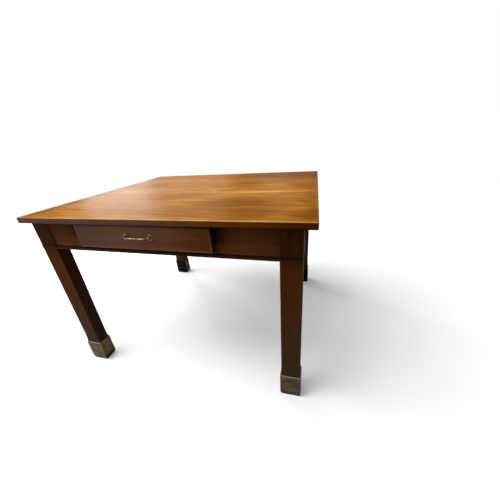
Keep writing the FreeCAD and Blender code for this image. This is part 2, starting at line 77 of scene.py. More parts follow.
CORNERS = ("front_left", "front_right", "back_left", "back_right")
SIDES = ("left", "right")
# The place of a piece's second material.
SECOND = 1

# Inputs of a Map Range node: from low, from high, to low and to high.
MAP_RANGE = (1, 2, 3, 4)
# Settings, inputs and output of a Mix node for colours.
COLOUR_MIX = {"data_type": "RGBA"}
FACTOR, COLOUR_A, COLOUR_B, MIXED = 0, 6, 7, 2
# A Wave node runs through this many radians in a metre at a scale of one.
WAVE_RATE = 20.0
# A noise has this mean, most of it is in the wide span, and the narrow one sets its patches apart.
NOISE_MEAN = 0.5
WIDE_SPAN = (0.3, 0.7)
NARROW_SPAN = (0.35, 0.65)
# The shade of wood that has its ground colour, between the darkest at 0 and the lightest at 1.
GROUND = 0.5

Tree = bpy.types.NodeTree
Socket = bpy.types.NodeSocket
Material = bpy.types.Material
Piece = bpy.types.Object
Vert = bmesh.types.BMVert
Edge = bmesh.types.BMEdge
Face = bmesh.types.BMFace
EdgeTest = Callable[[Edge], bool]
FaceTest = Callable[[Face], bool]
PlaceValue = Callable[[Vector], float]


# Materials

def linear(hex_colour: str) -> tuple[float, float, float, float]:
    """Turn an sRGB hex colour into linear light.

    Args:
        hex_colour: A hash and six hex digits.

    Returns:
        Linear red, green and blue, with an alpha of one.
    """
    channels = [int(hex_colour[i:i + 2], 16) / 255 for i in (1, 3, 5)]
    red, green, blue = (c / 12.92 if c <= 0.04045 else ((c + 0.055) / 1.055) ** 2.4 for c in channels)
    return red, green, blue, 1.0


def add_node(tree: Tree, kind: str, settings: dict | None = None, values: dict | None = None,
             links: dict | None = None) -> bpy.types.Node:
    """Add a shader node with its settings and links.

    Args:
        tree: The node tree that takes the node.
        kind: The node's type, without its ShaderNode prefix.
        settings: Properties of the node by name.
        values: Values of unlinked inputs, by the input's name or number.
        links: Output sockets that feed inputs, by the input's name or number.

    Returns:
        The new node.
    """
    node = tree.nodes.new("ShaderNode" + kind)
    for name, value in (settings or {}).items():
        setattr(node, name, value)
    for key, value in (values or {}).items():
        node.inputs[key].default_value = value
    for key, socket in (links or {}).items():
        tree.links.new(socket, node.inputs[key])
    return node


def empty_material(name: str) -> Material:
    """Start a material with no nodes.

    Args:
        name: Its name.

    Returns:
        The material.
    """
    made = bpy.data.materials.new(name)
    made.use_nodes = True
    made.node_tree.nodes.clear()
    return made


class Grain(Enum):
    """The way the grain of a board runs, as the turn that lays it along the pattern's X axis."""

    ALONG_X = (0.0, 0.0, 0.0)
    ALONG_Y = (0.0, 0.0, -math.pi / 2)
    ALONG_Z = (0.0, math.pi / 2, 0.0)


class Trait(Enum):
    """What the corners of a piece's faces tell its material."""

    BOARD = "board"
    TONE = "tone"
    WEAR = "wear"
    # Grime, and painted shade in joints, in corners, under the carcass, on the back shoes and under the rod.
    GRIME = "grime"
    # Dust, a painted sheen towards the left of the front, and a painted highlight on the shoes' ledges.
    DUST_AND_SHEEN = "dust_and_sheen"

    def read(self, tree: Tree) -> Socket:
        """Give the trait's value, which is 0 where a piece doesn't have it."""
        return add_node(tree, "Attribute", {"attribute_name": self.value}).outputs["Fac"]


@dataclass(frozen=True)
class Pattern:
    """Soft patches drawn out along the grain.

    Their size is in millimetres, and the depth says how far they move the wood from dark to light.
    """

    along_mm: float
    across_mm: float
    depth: float
    detail: float = 2.0

    def draw(self, tree: Tree, place: Socket) -> Socket:
        """Draw the pattern.

        Args:
            tree: The material's node tree.
            place: Coordinates in metres, with the grain along X.

        Returns:
            A value about 0.5, from 0 to 1.
        """
        along, across = 1 / (self.along_mm * MM), 1 / (self.across_mm * MM)
        scaled = add_node(tree, "Mapping", values={"Scale": (along, across, across)},
                          links={"Vector": place})
        noise = add_node(tree, "TexNoise", values={"Scale": 1.0, "Detail": self.detail, "Roughness": 0.55},
                         links={"Vector": scaled.outputs[0]})
        return noise.outputs["Fac"]


@dataclass(frozen=True)
class Patch:
    """A soft-edged stretch of the desk where age has made the wood lighter or darker.

    The lift is whole in its core, a share of its reach, and falls to nothing at its outline.
    """

    middle_mm: tuple[float, float, float]
    reach_mm: tuple[float, float, float]
    lift: float
    core: float = 0.2

    def draw(self, tree: Tree, place: Socket) -> Socket:
        """Draw the patch.

        Args:
            tree: The material's node tree.
            place: Coordinates in metres, in the desk's frame.

        Returns:
            How much lighter the wood is, which is 0 outside the patch.
        """
        middle = tuple(part * MM for part in self.middle_mm)
        reach = tuple(part * MM for part in self.reach_mm)
        from_middle = add_node(tree, "VectorMath", {"operation": "SUBTRACT"}, {1: middle}, {0: place})
        scaled = add_node(tree, "VectorMath", {"operation": "DIVIDE"}, {1: reach},
                          {0: from_middle.outputs[0]})
        away = add_node(tree, "VectorMath", {"operation": "LENGTH"}, links={0: scaled.outputs[0]})
        faded = add_node(tree, "MapRange", {"interpolation_type": "SMOOTHSTEP"},
                         dict(zip(MAP_RANGE, (self.core, 1.0, self.lift, 0.0))),
                         {0: away.outputs["Value"]})
        return faded.outputs[0]


@dataclass(frozen=True)
class Timber:
    """A sawn, planed and finished board, with figure, streaks, rings, pores and a cloudy old finish."""

    name: str
    dark: str
    ground: str
    light: str
    worn: str
    cloud: Pattern
    figure: Pattern
    streak: Pattern
    pore: Pattern
    roughness: tuple[float, float]
    specular: float
    relief_mm: float
    ring_mm: float = 14.0
    ring_depth: float = 0.08
    wear_share: float = 0.6
    # The colour of grime, which also paints shade.
    grime: str = "#140b05"
    # The colour of dust; on the top's edges and on the drawer's front it is a painted sheen.
    dust_and_sheen: str = "#3c352b"
    patches: tuple[Patch, ...] = ()
    warp_mm: tuple[float, float, float] = (180.0, 60.0, 0.0)
    board_shift: tuple[float, float, float] = (3.7, 0.9, 0.45)
    pore_span: tuple[float, float] = (0.5, 0.72)
    wear_least: float = 0.3

    def material(self, grain: Grain) -> Material:
        """Give the material for boards whose grain runs one way.

        Args:
            grain: The way the grain runs.

        Returns:
            The material, made on its first use.
        """
        name = f"{self.name}_{grain.name.lower()}"
        return bpy.data.materials.get(name) or self.make(name, grain)

    def make(self, name: str, grain: Grain) -> Material:
        """Build the node tree.

        Args:
            name: The material's name.
            grain: The way the grain runs.

        Returns:
            The new material.
        """
        made = empty_material(name)
        tree = made.node_tree
        place = add_node(tree, "TexCoord").outputs["Object"]
        turned = add_node(tree, "Mapping", values={"Rotation": grain.value},
                          links={"Vector": place}).outputs[0]
        board = self.board_coordinates(tree, turned)
        cloud = self.cloud.draw(tree, turned)
        streak = self.streak.draw(tree, board)
        pore = self.pore.draw(tree, board)
        shade = self.shade(tree, [(cloud, self.cloud.depth), (streak, self.streak.depth),
                                  (self.figure.draw(tree, board), self.figure.depth),
                                  (self.rings(tree, board), self.ring_depth)])
        if self.patches:
            shade = self.patched(tree, place, cloud, shade)
        colour = self.colour(tree, shade, pore, streak)
        gloss = add_node(tree, "MapRange", values=dict(zip(MAP_RANGE, WIDE_SPAN + self.roughness)),
                         links={0: streak})
        bump = add_node(tree, "Bump", values={"Strength": 0.6, "Distance": self.relief_mm * MM},
                        links={"Height": pore})
        shader = add_node(tree, "BsdfPrincipled", values={"Specular IOR Level": self.specular},
                          links={"Base Color": colour, "Roughness": gloss.outputs[0],
                                 "Normal": bump.outputs[0]})
        add_node(tree, "OutputMaterial", links={"Surface": shader.outputs[0]})
        return made

    def board_coordinates(self, tree: Tree, turned: Socket) -> Socket:
        """Give each board its own stretch of the log.

        Args:
            tree: The material's node tree.
            turned: Coordinates in metres, with the grain along X.

        Returns:
            The same coordinates, moved by the board's number.
        """
        shift = add_node(tree, "VectorMath", {"operation": "SCALE"}, {0: self.board_shift},
                         {"Scale": Trait.BOARD.read(tree)})
        moved = add_node(tree, "VectorMath", {"operation": "ADD"}, links={0: turned, 1: shift.outputs[0]})
        return moved.outputs[0]

    def rings(self, tree: Tree, board: Socket) -> Socket:
        """Draw growth rings about a pith that leans a little out of the board's line.

        Args:
            tree: The material's node tree.
            board: The board's coordinates.

        Returns:
            A value from 0 to 1.
        """
        lean = (0.0, math.radians(1.2), math.radians(0.8))
        squeezed = add_node(tree, "Mapping", values={"Rotation": lean, "Scale": (0.12, 1.0, 1.0)},
                            links={"Vector": board})
        turns = math.tau / WAVE_RATE / (self.ring_mm * MM)
        wave = add_node(tree, "TexWave", {"wave_type": "RINGS", "rings_direction": "X"},
                        {"Scale": turns, "Distortion": 6.0, "Detail": 2.0, "Detail Scale": 0.4},
                        {"Vector": squeezed.outputs[0]})
        return wave.outputs["Fac"]

    def shade(self, tree: Tree, layers: Sequence[tuple[Socket, float]]) -> Socket:
        """Add up what makes a stretch of wood lighter or darker, with the board's own tone.

        Args:
            tree: The material's node tree.
            layers: Patterns about 0.5, each with its depth.

        Returns:
            A value where 0 is the darkest wood, 0.5 the common ground and 1 the lightest.
        """
        level = GROUND - NOISE_MEAN * sum(depth for _, depth in layers)
        total = add_node(tree, "Math", {"operation": "ADD"}, {1: level}, {0: Trait.TONE.read(tree)})
        for pattern, depth in layers:
            total = add_node(tree, "Math", {"operation": "MULTIPLY_ADD"}, {1: depth},
                             {0: pattern, 2: total.outputs[0]})
        return total.outputs[0]

    def patched(self, tree: Tree, place: Socket, cloud: Socket, shade: Socket) -> Socket:
        """Lay the aged patches over the shade, with outlines that the clouds break up.

        Args:
            tree: The material's node tree.
            place: Coordinates in metres, in the desk's frame.
            cloud: The clouds of the old finish.
            shade: The shade without patches.

        Returns:
            The shade with patches.
        """
        around = add_node(tree, "Math", {"operation": "SUBTRACT"}, {1: NOISE_MEAN}, {0: cloud})
        reach = tuple(part * MM for part in self.warp_mm)
        push = add_node(tree, "VectorMath", {"operation": "SCALE"}, {0: reach}, {"Scale": around.outputs[0]})
        warped = add_node(tree, "VectorMath", {"operation": "ADD"}, links={0: place, 1: push.outputs[0]})
        for patch in self.patches:
            lift = patch.draw(tree, warped.outputs[0])
            shade = add_node(tree, "Math", {"operation": "ADD"}, links={0: shade, 1: lift}).outputs[0]
        return shade

    def colour(self, tree: Tree, shade: Socket, pore: Socket, streak: Socket) -> Socket:
        """Colour the wood, darken its pores, bare its worn edges, and lay on it grime with painted shade,
        and dust with a painted sheen.

        Args:
            tree: The material's node tree.
            shade: How light the wood is, from 0 to 1.
            pore: The pores' pattern.
            streak: The streaks, which break up the wear.

        Returns:
            The base colour.
        """
        low, high, opened, broken = (
            add_node(tree, "MapRange", values=dict(zip(MAP_RANGE, limits)), links={0: source}).outputs[0]
            for source, limits in ((shade, (0.0, GROUND, 0.0, 1.0)), (shade, (GROUND, 1.0, 0.0, 1.0)),
                                   (pore, (*self.pore_span, 0.0, self.pore.depth)),
                                   (streak, (*NARROW_SPAN, self.wear_least, 1.0))))
        bare = add_node(tree, "Math", {"operation": "MULTIPLY"}, {1: self.wear_share},
                        {0: Trait.WEAR.read(tree)})
        rubbed = add_node(tree, "Math", {"operation": "MULTIPLY"}, links={0: bare.outputs[0], 1: broken})
        colour = add_node(tree, "Mix", COLOUR_MIX,
                          {COLOUR_A: linear(self.dark), COLOUR_B: linear(self.ground)}, {FACTOR: low})
        coats = [(high, self.light), (opened, self.dark), (rubbed.outputs[0], self.worn),
                 (Trait.GRIME.read(tree), self.grime), (Trait.DUST_AND_SHEEN.read(tree), self.dust_and_sheen)]
        for amount, coat in coats:
            colour = add_node(tree, "Mix", COLOUR_MIX, {COLOUR_B: linear(coat)},
                              {FACTOR: amount, COLOUR_A: colour.outputs[MIXED]})
        return colour.outputs[MIXED]


@dataclass(frozen=True)
class AgedMetal:
    """A cast or drawn metal with tarnish in patches, rubbed edges, grime where no cloth reaches, and painted
    shade.
    """

    name: str
    clean: str
    tarnish: str
    rubbed: str
    patch_mm: float
    grit_mm: float
    roughness: tuple[float, float]
    relief_mm: float
    # The colour of grime, which also paints shade.
    grime: str = "#0f0b08"
    # The colour of dust, which on the shoes' ledges is also a painted highlight.
    dust_and_sheen: str = "#b9ac96"
    # Whether dust and the painted highlight dull the metal's shine.
    takes_dust_and_sheen: bool = False
    grit_span: tuple[float, float] = (0.3, 0.6)
    coat_least: float = 0.55

    def material(self) -> Material:
        """Give the material, made on its first use."""
        return bpy.data.materials.get(self.name) or self.make()

    def make(self) -> Material:
        """Build the node tree.

        Returns:
            The new material.
        """
        made = empty_material(self.name)
        tree = made.node_tree
        place = add_node(tree, "TexCoord").outputs["Object"]
        patch, grit = (add_node(tree, "TexNoise", values={"Scale": 1 / (size * MM), "Detail": detail},
                                links={"Vector": place}).outputs["Fac"]
                       for size, detail in ((self.patch_mm, 4.0), (self.grit_mm, 2.0)))
        gloss = add_node(tree, "MapRange", values=dict(zip(MAP_RANGE, WIDE_SPAN + self.roughness)),
                         links={0: patch})
        bump = add_node(tree, "Bump", values={"Strength": 0.5, "Distance": self.relief_mm * MM},
                        links={"Height": grit})
        shader = add_node(tree, "BsdfPrincipled", values={"Metallic": 1.0},
                          links={"Base Color": self.colour(tree, patch, grit), "Roughness": gloss.outputs[0],
                                 "Normal": bump.outputs[0]})
        if self.takes_dust_and_sheen:
            bare = add_node(tree, "Math", {"operation": "SUBTRACT"}, {0: 1.0}, {1: Trait.DUST_AND_SHEEN.read(tree)})
            tree.links.new(bare.outputs[0], shader.inputs["Metallic"])
        add_node(tree, "OutputMaterial", links={"Surface": shader.outputs[0]})
        return made

    def colour(self, tree: Tree, patch: Socket, grit: Socket) -> Socket:
        """Tarnish the metal in patches, rub its edges bare, and lay on it grime with painted shade, and dust
        with a painted highlight.

        Args:
            tree: The material's node tree.
            patch: The pattern of the tarnish.
            grit: A fine pattern, which breaks up the wear, the grime and the painted shade.

        Returns:
            The base colour.
        """
        spread, broken = (
            add_node(tree, "MapRange", values=dict(zip(MAP_RANGE, limits)), links={0: source}).outputs[0]
            for source, limits in ((patch, (*NARROW_SPAN, 0.0, 1.0)),
                                   (grit, (*self.grit_span, self.coat_least, 1.0))))
        rubbed, dirty = (add_node(tree, "Math", {"operation": "MULTIPLY"},
                                  links={0: trait.read(tree), 1: broken}).outputs[0]
                         for trait in (Trait.WEAR, Trait.GRIME))
        colour = add_node(tree, "Mix", COLOUR_MIX,
                          {COLOUR_A: linear(self.clean), COLOUR_B: linear(self.tarnish)}, {FACTOR: spread})
        coats = [(rubbed, self.rubbed), (dirty, self.grime), (Trait.DUST_AND_SHEEN.read(tree), self.dust_and_sheen)]
        for amount, coat in coats:
            colour = add_node(tree, "Mix", COLOUR_MIX, {COLOUR_B: linear(coat)},
                              {FACTOR: amount, COLOUR_A: colour.outputs[MIXED]})
        return colour.outputs[MIXED]


# Real pores and grit are some tenths of a millimetre wide, too fine for the render. So the pores below are
# drawn 2 to 4 mm wide and the grit 1 to 6 mm, as coarse as they need to show.

# Waxed hardwood, hand planed: amber with soft cloudy streaks, and a sheen only against the light.
# The old wax has gone deep brown in places and golden beside them, and dark towards the ends and the back.
WAXED_TOP = Timber("waxed_hardwood", dark="#744208", ground="#a26718", light="#d49c44", worn="#f3cf98",
                   cloud=Pattern(520.0, 150.0, 0.55), figure=Pattern(700.0, 70.0, 0.55, 3.0),
                   streak=Pattern(105.0, 8.5, 1.4, 5.0), pore=Pattern(90.0, 4.0, 0.25, 1.0),
                   roughness=(0.35, 0.47), specular=0.003, relief_mm=0.15, ring_mm=24.0,
                   patches=(Patch((285, -285, 760), (260, 140, 100), -0.34),
                            Patch((340, -82, 760), (240, 45, 100), 0.32),
                            Patch((200, 100, 760), (150, 130, 100), -0.28),
                            Patch((495, 50, 760), (90, 100, 100), -0.3),
                            Patch((530, -395, 760), (110, 90, 100), -0.35),
                            Patch((-430, 130, 760), (240, 180, 100), -0.25),
                            Patch((330, -420, 760), (110, 70, 100), -0.2),
                            Patch((548, 0, 760), (55, 900, 100), -0.22),
                            Patch((-548, 0, 760), (70, 900, 100), -0.3),
                            Patch((0, 494, 760), (900, 70, 100), -0.3),
                            Patch((390, 430, 760), (450, 400, 100), -0.4)))

# The same hardwood in its old dark stain, oiled: reddish brown, almost black where it is dense.
STAINED = Timber("stained_hardwood", dark="#301707", ground="#5a3116", light="#7d4a2a", worn="#967463",
                 cloud=Pattern(400.0, 150.0, 0.25), figure=Pattern(500.0, 45.0, 0.12, 3.0),
                 streak=Pattern(260.0, 6.0, 0.3), pore=Pattern(60.0, 3.0, 0.2, 1.0),
                 roughness=(0.5, 0.64), specular=0.015, relief_mm=0.12, wear_share=0.35)

# The same stain on the drawer's front, with a grey painted sheen over the brown towards the left.
SHEENED_STAIN = replace(STAINED, name="stained_hardwood_painted_sheen", dust_and_sheen="#5f514d")

# Long edges of the top, stained over the wax: a warmer brown than the rest of the frame, cloudy in places.
# Its dust colour is a grey painted sheen, laid on towards the left.
STAINED_EDGE = Timber("stained_top_edge", dark="#431d05", ground="#6a3609", light="#88501a", worn="#a8702f",
                      cloud=Pattern(300.0, 60.0, 0.4), figure=Pattern(500.0, 45.0, 0.3, 3.0),
                      streak=Pattern(260.0, 7.0, 0.4), pore=Pattern(60.0, 3.0, 0.2, 1.0),
                      roughness=(0.5, 0.64), specular=0.01, relief_mm=0.12, wear_share=0.3, dust_and_sheen="#5f514d",
                      patches=(Patch((558, -485, 750), (240, 200, 100), -0.45),))

# End grain of the stained wood, which drinks the stain, and darker still as painted shade on the drawer's
# ends: close to black.
END_GRAIN_IN_SHADE = Timber("stained_end_grain_shaded", dark="#1c1006", ground="#281709", light="#37200f", worn="#4a2a16",
                   cloud=Pattern(40.0, 40.0, 0.5), figure=Pattern(30.0, 30.0, 0.4),
                   streak=Pattern(12.0, 12.0, 0.4), pore=Pattern(2.0, 2.0, 0.35, 1.0),
                   roughness=(0.6, 0.72), specular=0.01, relief_mm=0.12)

# Plain secondary wood, planed and left raw: pale straw, dry and matt.
RAW_WOOD = Timber("raw_softwood", dark="#8a6438", ground="#b08a5a", light="#c7a576", worn="#d2b68c",
                  cloud=Pattern(300.0, 80.0, 0.5), figure=Pattern(400.0, 40.0, 0.5, 3.0),
                  streak=Pattern(220.0, 9.0, 0.5), pore=Pattern(50.0, 2.5, 0.35, 1.0),
                  roughness=(0.6, 0.75), specular=0.2, relief_mm=0.12, ring_mm=9.0, ring_depth=0.3)

# Lacquered brass with its lacquer gone: dull yellow brown, bright where hands rub it.
HANDLE_BRASS = AgedMetal("aged_brass", clean="#8d7350", tarnish="#57462f", rubbed="#b39a72",
                         patch_mm=14.0, grit_mm=1.2, roughness=(0.26, 0.42), relief_mm=0.05)

# Cast brass that stands on the floor: brown with kicks and polish, a ledge made lighter by dust, rubbing and
# a painted highlight, and a black band at the sole.
SHOE_BRASS = AgedMetal("patinated_cast_brass", clean="#53422b", tarnish="#382c1d", rubbed="#cbbba0",
                       patch_mm=30.0, grit_mm=6.0, roughness=(0.38, 0.55), relief_mm=0.12, dust_and_sheen="#857865",
                       takes_dust_and_sheen=True)

# Plated screws and studs: plain grey steel, slightly dulled.
PLAIN_STEEL = AgedMetal("plated_steel", clean="#8f8d88", tarnish="#6c6a66", rubbed="#a9a7a2",
                        patch_mm=10.0, grit_mm=1.0, roughness=(0.3, 0.45), relief_mm=0.03)


# Mesh work

def clamped(value: float) -> float:
    """Keep a share between none and all."""
    return min(1.0, max(0.0, value))


def nearness(distance: float, reach: float) -> float:
    """Give a share that is whole at no distance and none from the reach on."""
    return max(0.0, 1 - distance / reach)


def verts_of(parts: Iterable[object]) -> list[Vert]:
    """Pick the vertices among parts of a mesh."""
    return [part for part in parts if isinstance(part, Vert)]


def placed(name: str, data: bpy.types.ID) -> Piece:
    """Put a new object into the scene.

    Args:
        name: Its name.
        data: Its mesh, light or camera.

    Returns:
        The object.
    """
    made = bpy.data.objects.new(name, data)
    bpy.context.scene.collection.objects.link(made)
    return made


class Workpiece:
    """A mesh on the bench, which ends as one object of the desk."""

    boards = 0

    def __init__(self, name: str) -> None:
        """Start an empty mesh with a layer for each trait, cut from a board of its own.

        Args:
            name: The name of the finished object.
        """
        self.name = name
        self.bm = bmesh.new()
        for trait in Trait:
            self.bm.loops.layers.float.new(trait.value)
        self.number = Workpiece.boards
        Workpiece.boards += 1

    def block(self, low: Vector, high: Vector) -> None:
        """Add a rectangular block.

        Args:
            low: Its lowest corner.
            high: Its highest corner.
        """
        size = Matrix.Diagonal((*(high - low), 1.0))
        bmesh.ops.create_cube(self.bm, size=1.0, matrix=Matrix.Translation((low + high) / 2) @ size)

    def tower(self, middle: Vector, half: Vector, levels: Sequence[tuple[float, float]]) -> None:
        """Add a skin of stacked rectangles, closed at both ends.

        Args:
            middle: A point on the tower's axis.
            half: Half the width and half the depth of what it goes round.
            levels: How far each rectangle stands proud, and its height, in order along the skin.
        """
        proud, height = levels[0]
        size = Matrix.Diagonal((half.x + proud, half.y + proud, 1.0, 1.0))
        turn = Matrix.Rotation(math.pi / 4, 4, "Z")
        base = Matrix.Translation((middle.x, middle.y, height)) @ size @ turn
        verts = bmesh.ops.create_circle(self.bm, cap_ends=True, segments=4, radius=math.sqrt(2),
                                        matrix=base)["verts"]
        axis = Matrix.Translation((-middle.x, -middle.y, 0))
        for next_proud, next_height in levels[1:]:
            verts = self.draw_out(verts, UP * (next_height - height))
            stretch = [(side + next_proud) / (side + proud) for side in half.xy]
            bmesh.ops.scale(self.bm, vec=(*stretch, 1.0), space=axis, verts=verts)
            proud, height = next_proud, next_height
        bmesh.ops.contextual_create(self.bm, geom=self.ring_of(verts))

    def draw_out(self, verts: list[Vert], run: Vector) -> list[Vert]:
        """Draw a ring out into a new stretch of skin.

        Args:
            verts: The ring at the skin's end.
            run: How far the skin goes on.

        Returns:
            The ring at its new end.
        """
        grown = verts_of(bmesh.ops.extrude_edge_only(self.bm, edges=self.ring_of(verts))["geom"])
        bmesh.ops.translate(self.bm, vec=run, verts=grown)
        return grown

    def whole(self) -> list[Vert | Edge | Face]:
        """Give every vertex, edge and face."""
        return self.bm.verts[:] + self.bm.edges[:] + self.bm.faces[:]

    def ring_of(self, verts: Iterable[Vert]) -> list[Edge]:
        """Give the edges that join a set of vertices to each other."""
        wanted = set(verts)
        return [edge for edge in self.bm.edges if edge.verts[0] in wanted and edge.verts[1] in wanted]

    def turned(self, foot: Vector, outline: Sequence[tuple[float, float]], steps: int = 40) -> None:
        """Add a turned shape whose axis points to the front.

        Args:
            foot: The point of the axis that the shape stands on.
            outline: Radius and height above the foot of each point of the outline.
            steps: Faces round the axis.
        """
        verts = [self.bm.verts.new(foot + ALONG * radius + FRONT * height) for radius, height in outline]
        edges = [self.bm.edges.new(pair) for pair in zip(verts, verts[1:])]
        bmesh.ops.spin(self.bm, geom=verts + edges, cent=foot, axis=FRONT, angle=math.tau, steps=steps,
                       use_merge=True, use_duplicate=False)
        bmesh.ops.remove_doubles(self.bm, verts=self.bm.verts[:], dist=SAME)

    def ease(self, test: EdgeTest, radius: float, segments: int = 3, wear: float = 1.0) -> None:
        """Round some edges, and let them wear.

        Args:
            test: Says whether an edge is rounded.
            radius: The round's radius.
            segments: Faces across the round.
            wear: How much the round is worn.
        """
        edges = [edge for edge in self.bm.edges if edge.is_manifold and test(edge)]
        made = bmesh.ops.bevel(self.bm, geom=edges, offset=radius, offset_type="OFFSET", segments=segments,
                               profile=0.5, affect="EDGES", material=-1, clamp_overlap=True)
        rounded = set(made["faces"])
        self.mark(Trait.WEAR, wear, lambda face: face in rounded)

    def cut_off(self, point: Vector, outward: Vector) -> None:
        """Saw off what lies beyond a plane, and close the cut.

        Args:
            point: A point on the plane.
            outward: The plane's normal, towards the waste.
        """
        made = bmesh.ops.bisect_plane(self.bm, geom=self.whole(), plane_co=point, plane_no=outward,
                                      clear_outer=True)
        rim = [part for part in made["geom_cut"] if isinstance(part, Edge)]
        bmesh.ops.contextual_create(self.bm, geom=rim)

    def score(self, axis: Vector, place: float) -> None:
        """Add edges where a plane across an axis meets the faces, for a trait to start or end there."""
        bmesh.ops.bisect_plane(self.bm, geom=self.whole(), plane_co=axis * place, plane_no=axis)

    def paint(self, number: int, test: FaceTest) -> None:
        """Give some faces another of the piece's materials.

        Args:
            number: The material's place among the piece's materials.
            test: Says whether a face takes it.
        """
        self.bm.normal_update()
        for face in self.bm.faces:
            if test(face):
                face.material_index = number

    def mark(self, trait: Trait, amount: float, test: FaceTest | None = None) -> None:
        """Give some faces the same amount of a trait.

        Args:
            trait: The trait.
            amount: How much of it they have.
            test: Says whether a face takes it, or nothing for every face.
        """
        self.grade(trait, lambda place: amount, test)

    def grade(self, trait: Trait, amount_at: PlaceValue, test: FaceTest | None = None) -> None:
        """Let a trait change from place to place.

        Args:
            trait: The trait.
            amount_at: Gives its amount at a point.
            test: Says whether a face takes it, or nothing for every face.
        """
        self.bm.normal_update()
        layer = self.bm.loops.layers.float[trait.value]
        for face in self.bm.faces:
            if test is None or test(face):
                for loop in face.loops:
                    loop[layer] = amount_at(loop.vert.co)

    def fade(self, trait: Trait, share_at: PlaceValue) -> None:
        """Take some of a trait away.

        Args:
            trait: The trait.
            share_at: Gives the share of it that stays at a point.
        """
        layer = self.bm.loops.layers.float[trait.value]
        for face in self.bm.faces:
            for loop in face.loops:
                loop[layer] *= share_at(loop.vert.co)

    def paint_joint_shade(self, heights: Sequence[float], reach: float) -> None:
        """Paint shade and grime into the corners where the piece meets what is below or above it.

        Args:
            heights: Heights of the joints.
            reach: How far the painted shade reaches out of a corner.
        """
        for height in heights:
            for edge in (height - reach, height + reach):
                self.score(UP, edge)
        self.grade(Trait.GRIME,
                   lambda place: max(nearness(abs(place.z - height), reach) for height in heights))

    def painted_sheen(self, most: float, full: float, clear: float, test: FaceTest | None = None) -> None:
        """Paint a grey sheen onto the finish towards the left, where it stands for a reflection.

        Args:
            most: The amount of painted sheen where it is full.
            full: The place along the front where it is full, as it is to the left of it.
            clear: The place along the front where it ends.
            test: Says whether a face takes it, or nothing for every face.
        """
        for place in (full, clear):
            self.score(ALONG, place)
        self.grade(Trait.DUST_AND_SHEEN, lambda place: most * clamped((clear - place.x) / (clear - full)), test)

    def leave(self, body: str, slot: str, materials: Sequence[Material], stands_for: Sequence[str]) -> Piece:
        """Turn the mesh into an object that rides on a body.

        Args:
            body: The body that it moves with.
            slot: The record's material slot; it is not used.
            materials: Its materials, the main one first.
            stands_for: The nodes that it replaces.

        Returns:
            The finished object.
        """
        self.mark(Trait.BOARD, float(self.number))
        bmesh.ops.recalc_face_normals(self.bm, faces=self.bm.faces[:])
        for face in self.bm.faces:
            face.smooth = True
        for edge in self.bm.edges:
            edge.smooth = not edge.is_manifold or edge.calc_face_angle(0.0) < SHARP_ANGLE
        mesh = bpy.data.meshes.new(self.name)
        self.bm.to_mesh(mesh)
        self.bm.free()
        for material in materials:
            mesh.materials.append(material)
        piece = placed(self.name, mesh)
        normals = piece.modifiers.new("even_shading", "WEIGHTED_NORMAL")
        normals.keep_sharp = True
        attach(piece, body)
        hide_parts(*stands_for)
        return piece


def every_edge(edge: Edge) -> bool:
    """Take every edge."""
    return True


def upright(edge: Edge) -> bool:
    """Take edges that stand on end."""
    run = edge.verts[1].co - edge.verts[0].co
    return abs(run.z) > abs(run.x) + abs(run.y)


def edge_middle(edge: Edge) -> Vector:
    """Give the middle of an edge."""
    return (edge.verts[0].co + edge.verts[1].co) / 2


def flat_across(edge: Edge, axis: int, place: float) -> bool:
    """Take edges that lie in one plane across an axis."""
    return all(abs(vert.co[axis] - place) < SAME for vert in edge.verts)


def dress(node: str, material: Material) -> Piece:
    """Give a CAD node its material.

    Args:
        node: The node's name.
        material: The material that takes the place of its own.

    Returns:
        The node's object.
    """
    piece = frame["nodes"][node]
    piece.data.materials.clear()
    piece.data.materials.append(material)
    return piece


# Sub-assemblies

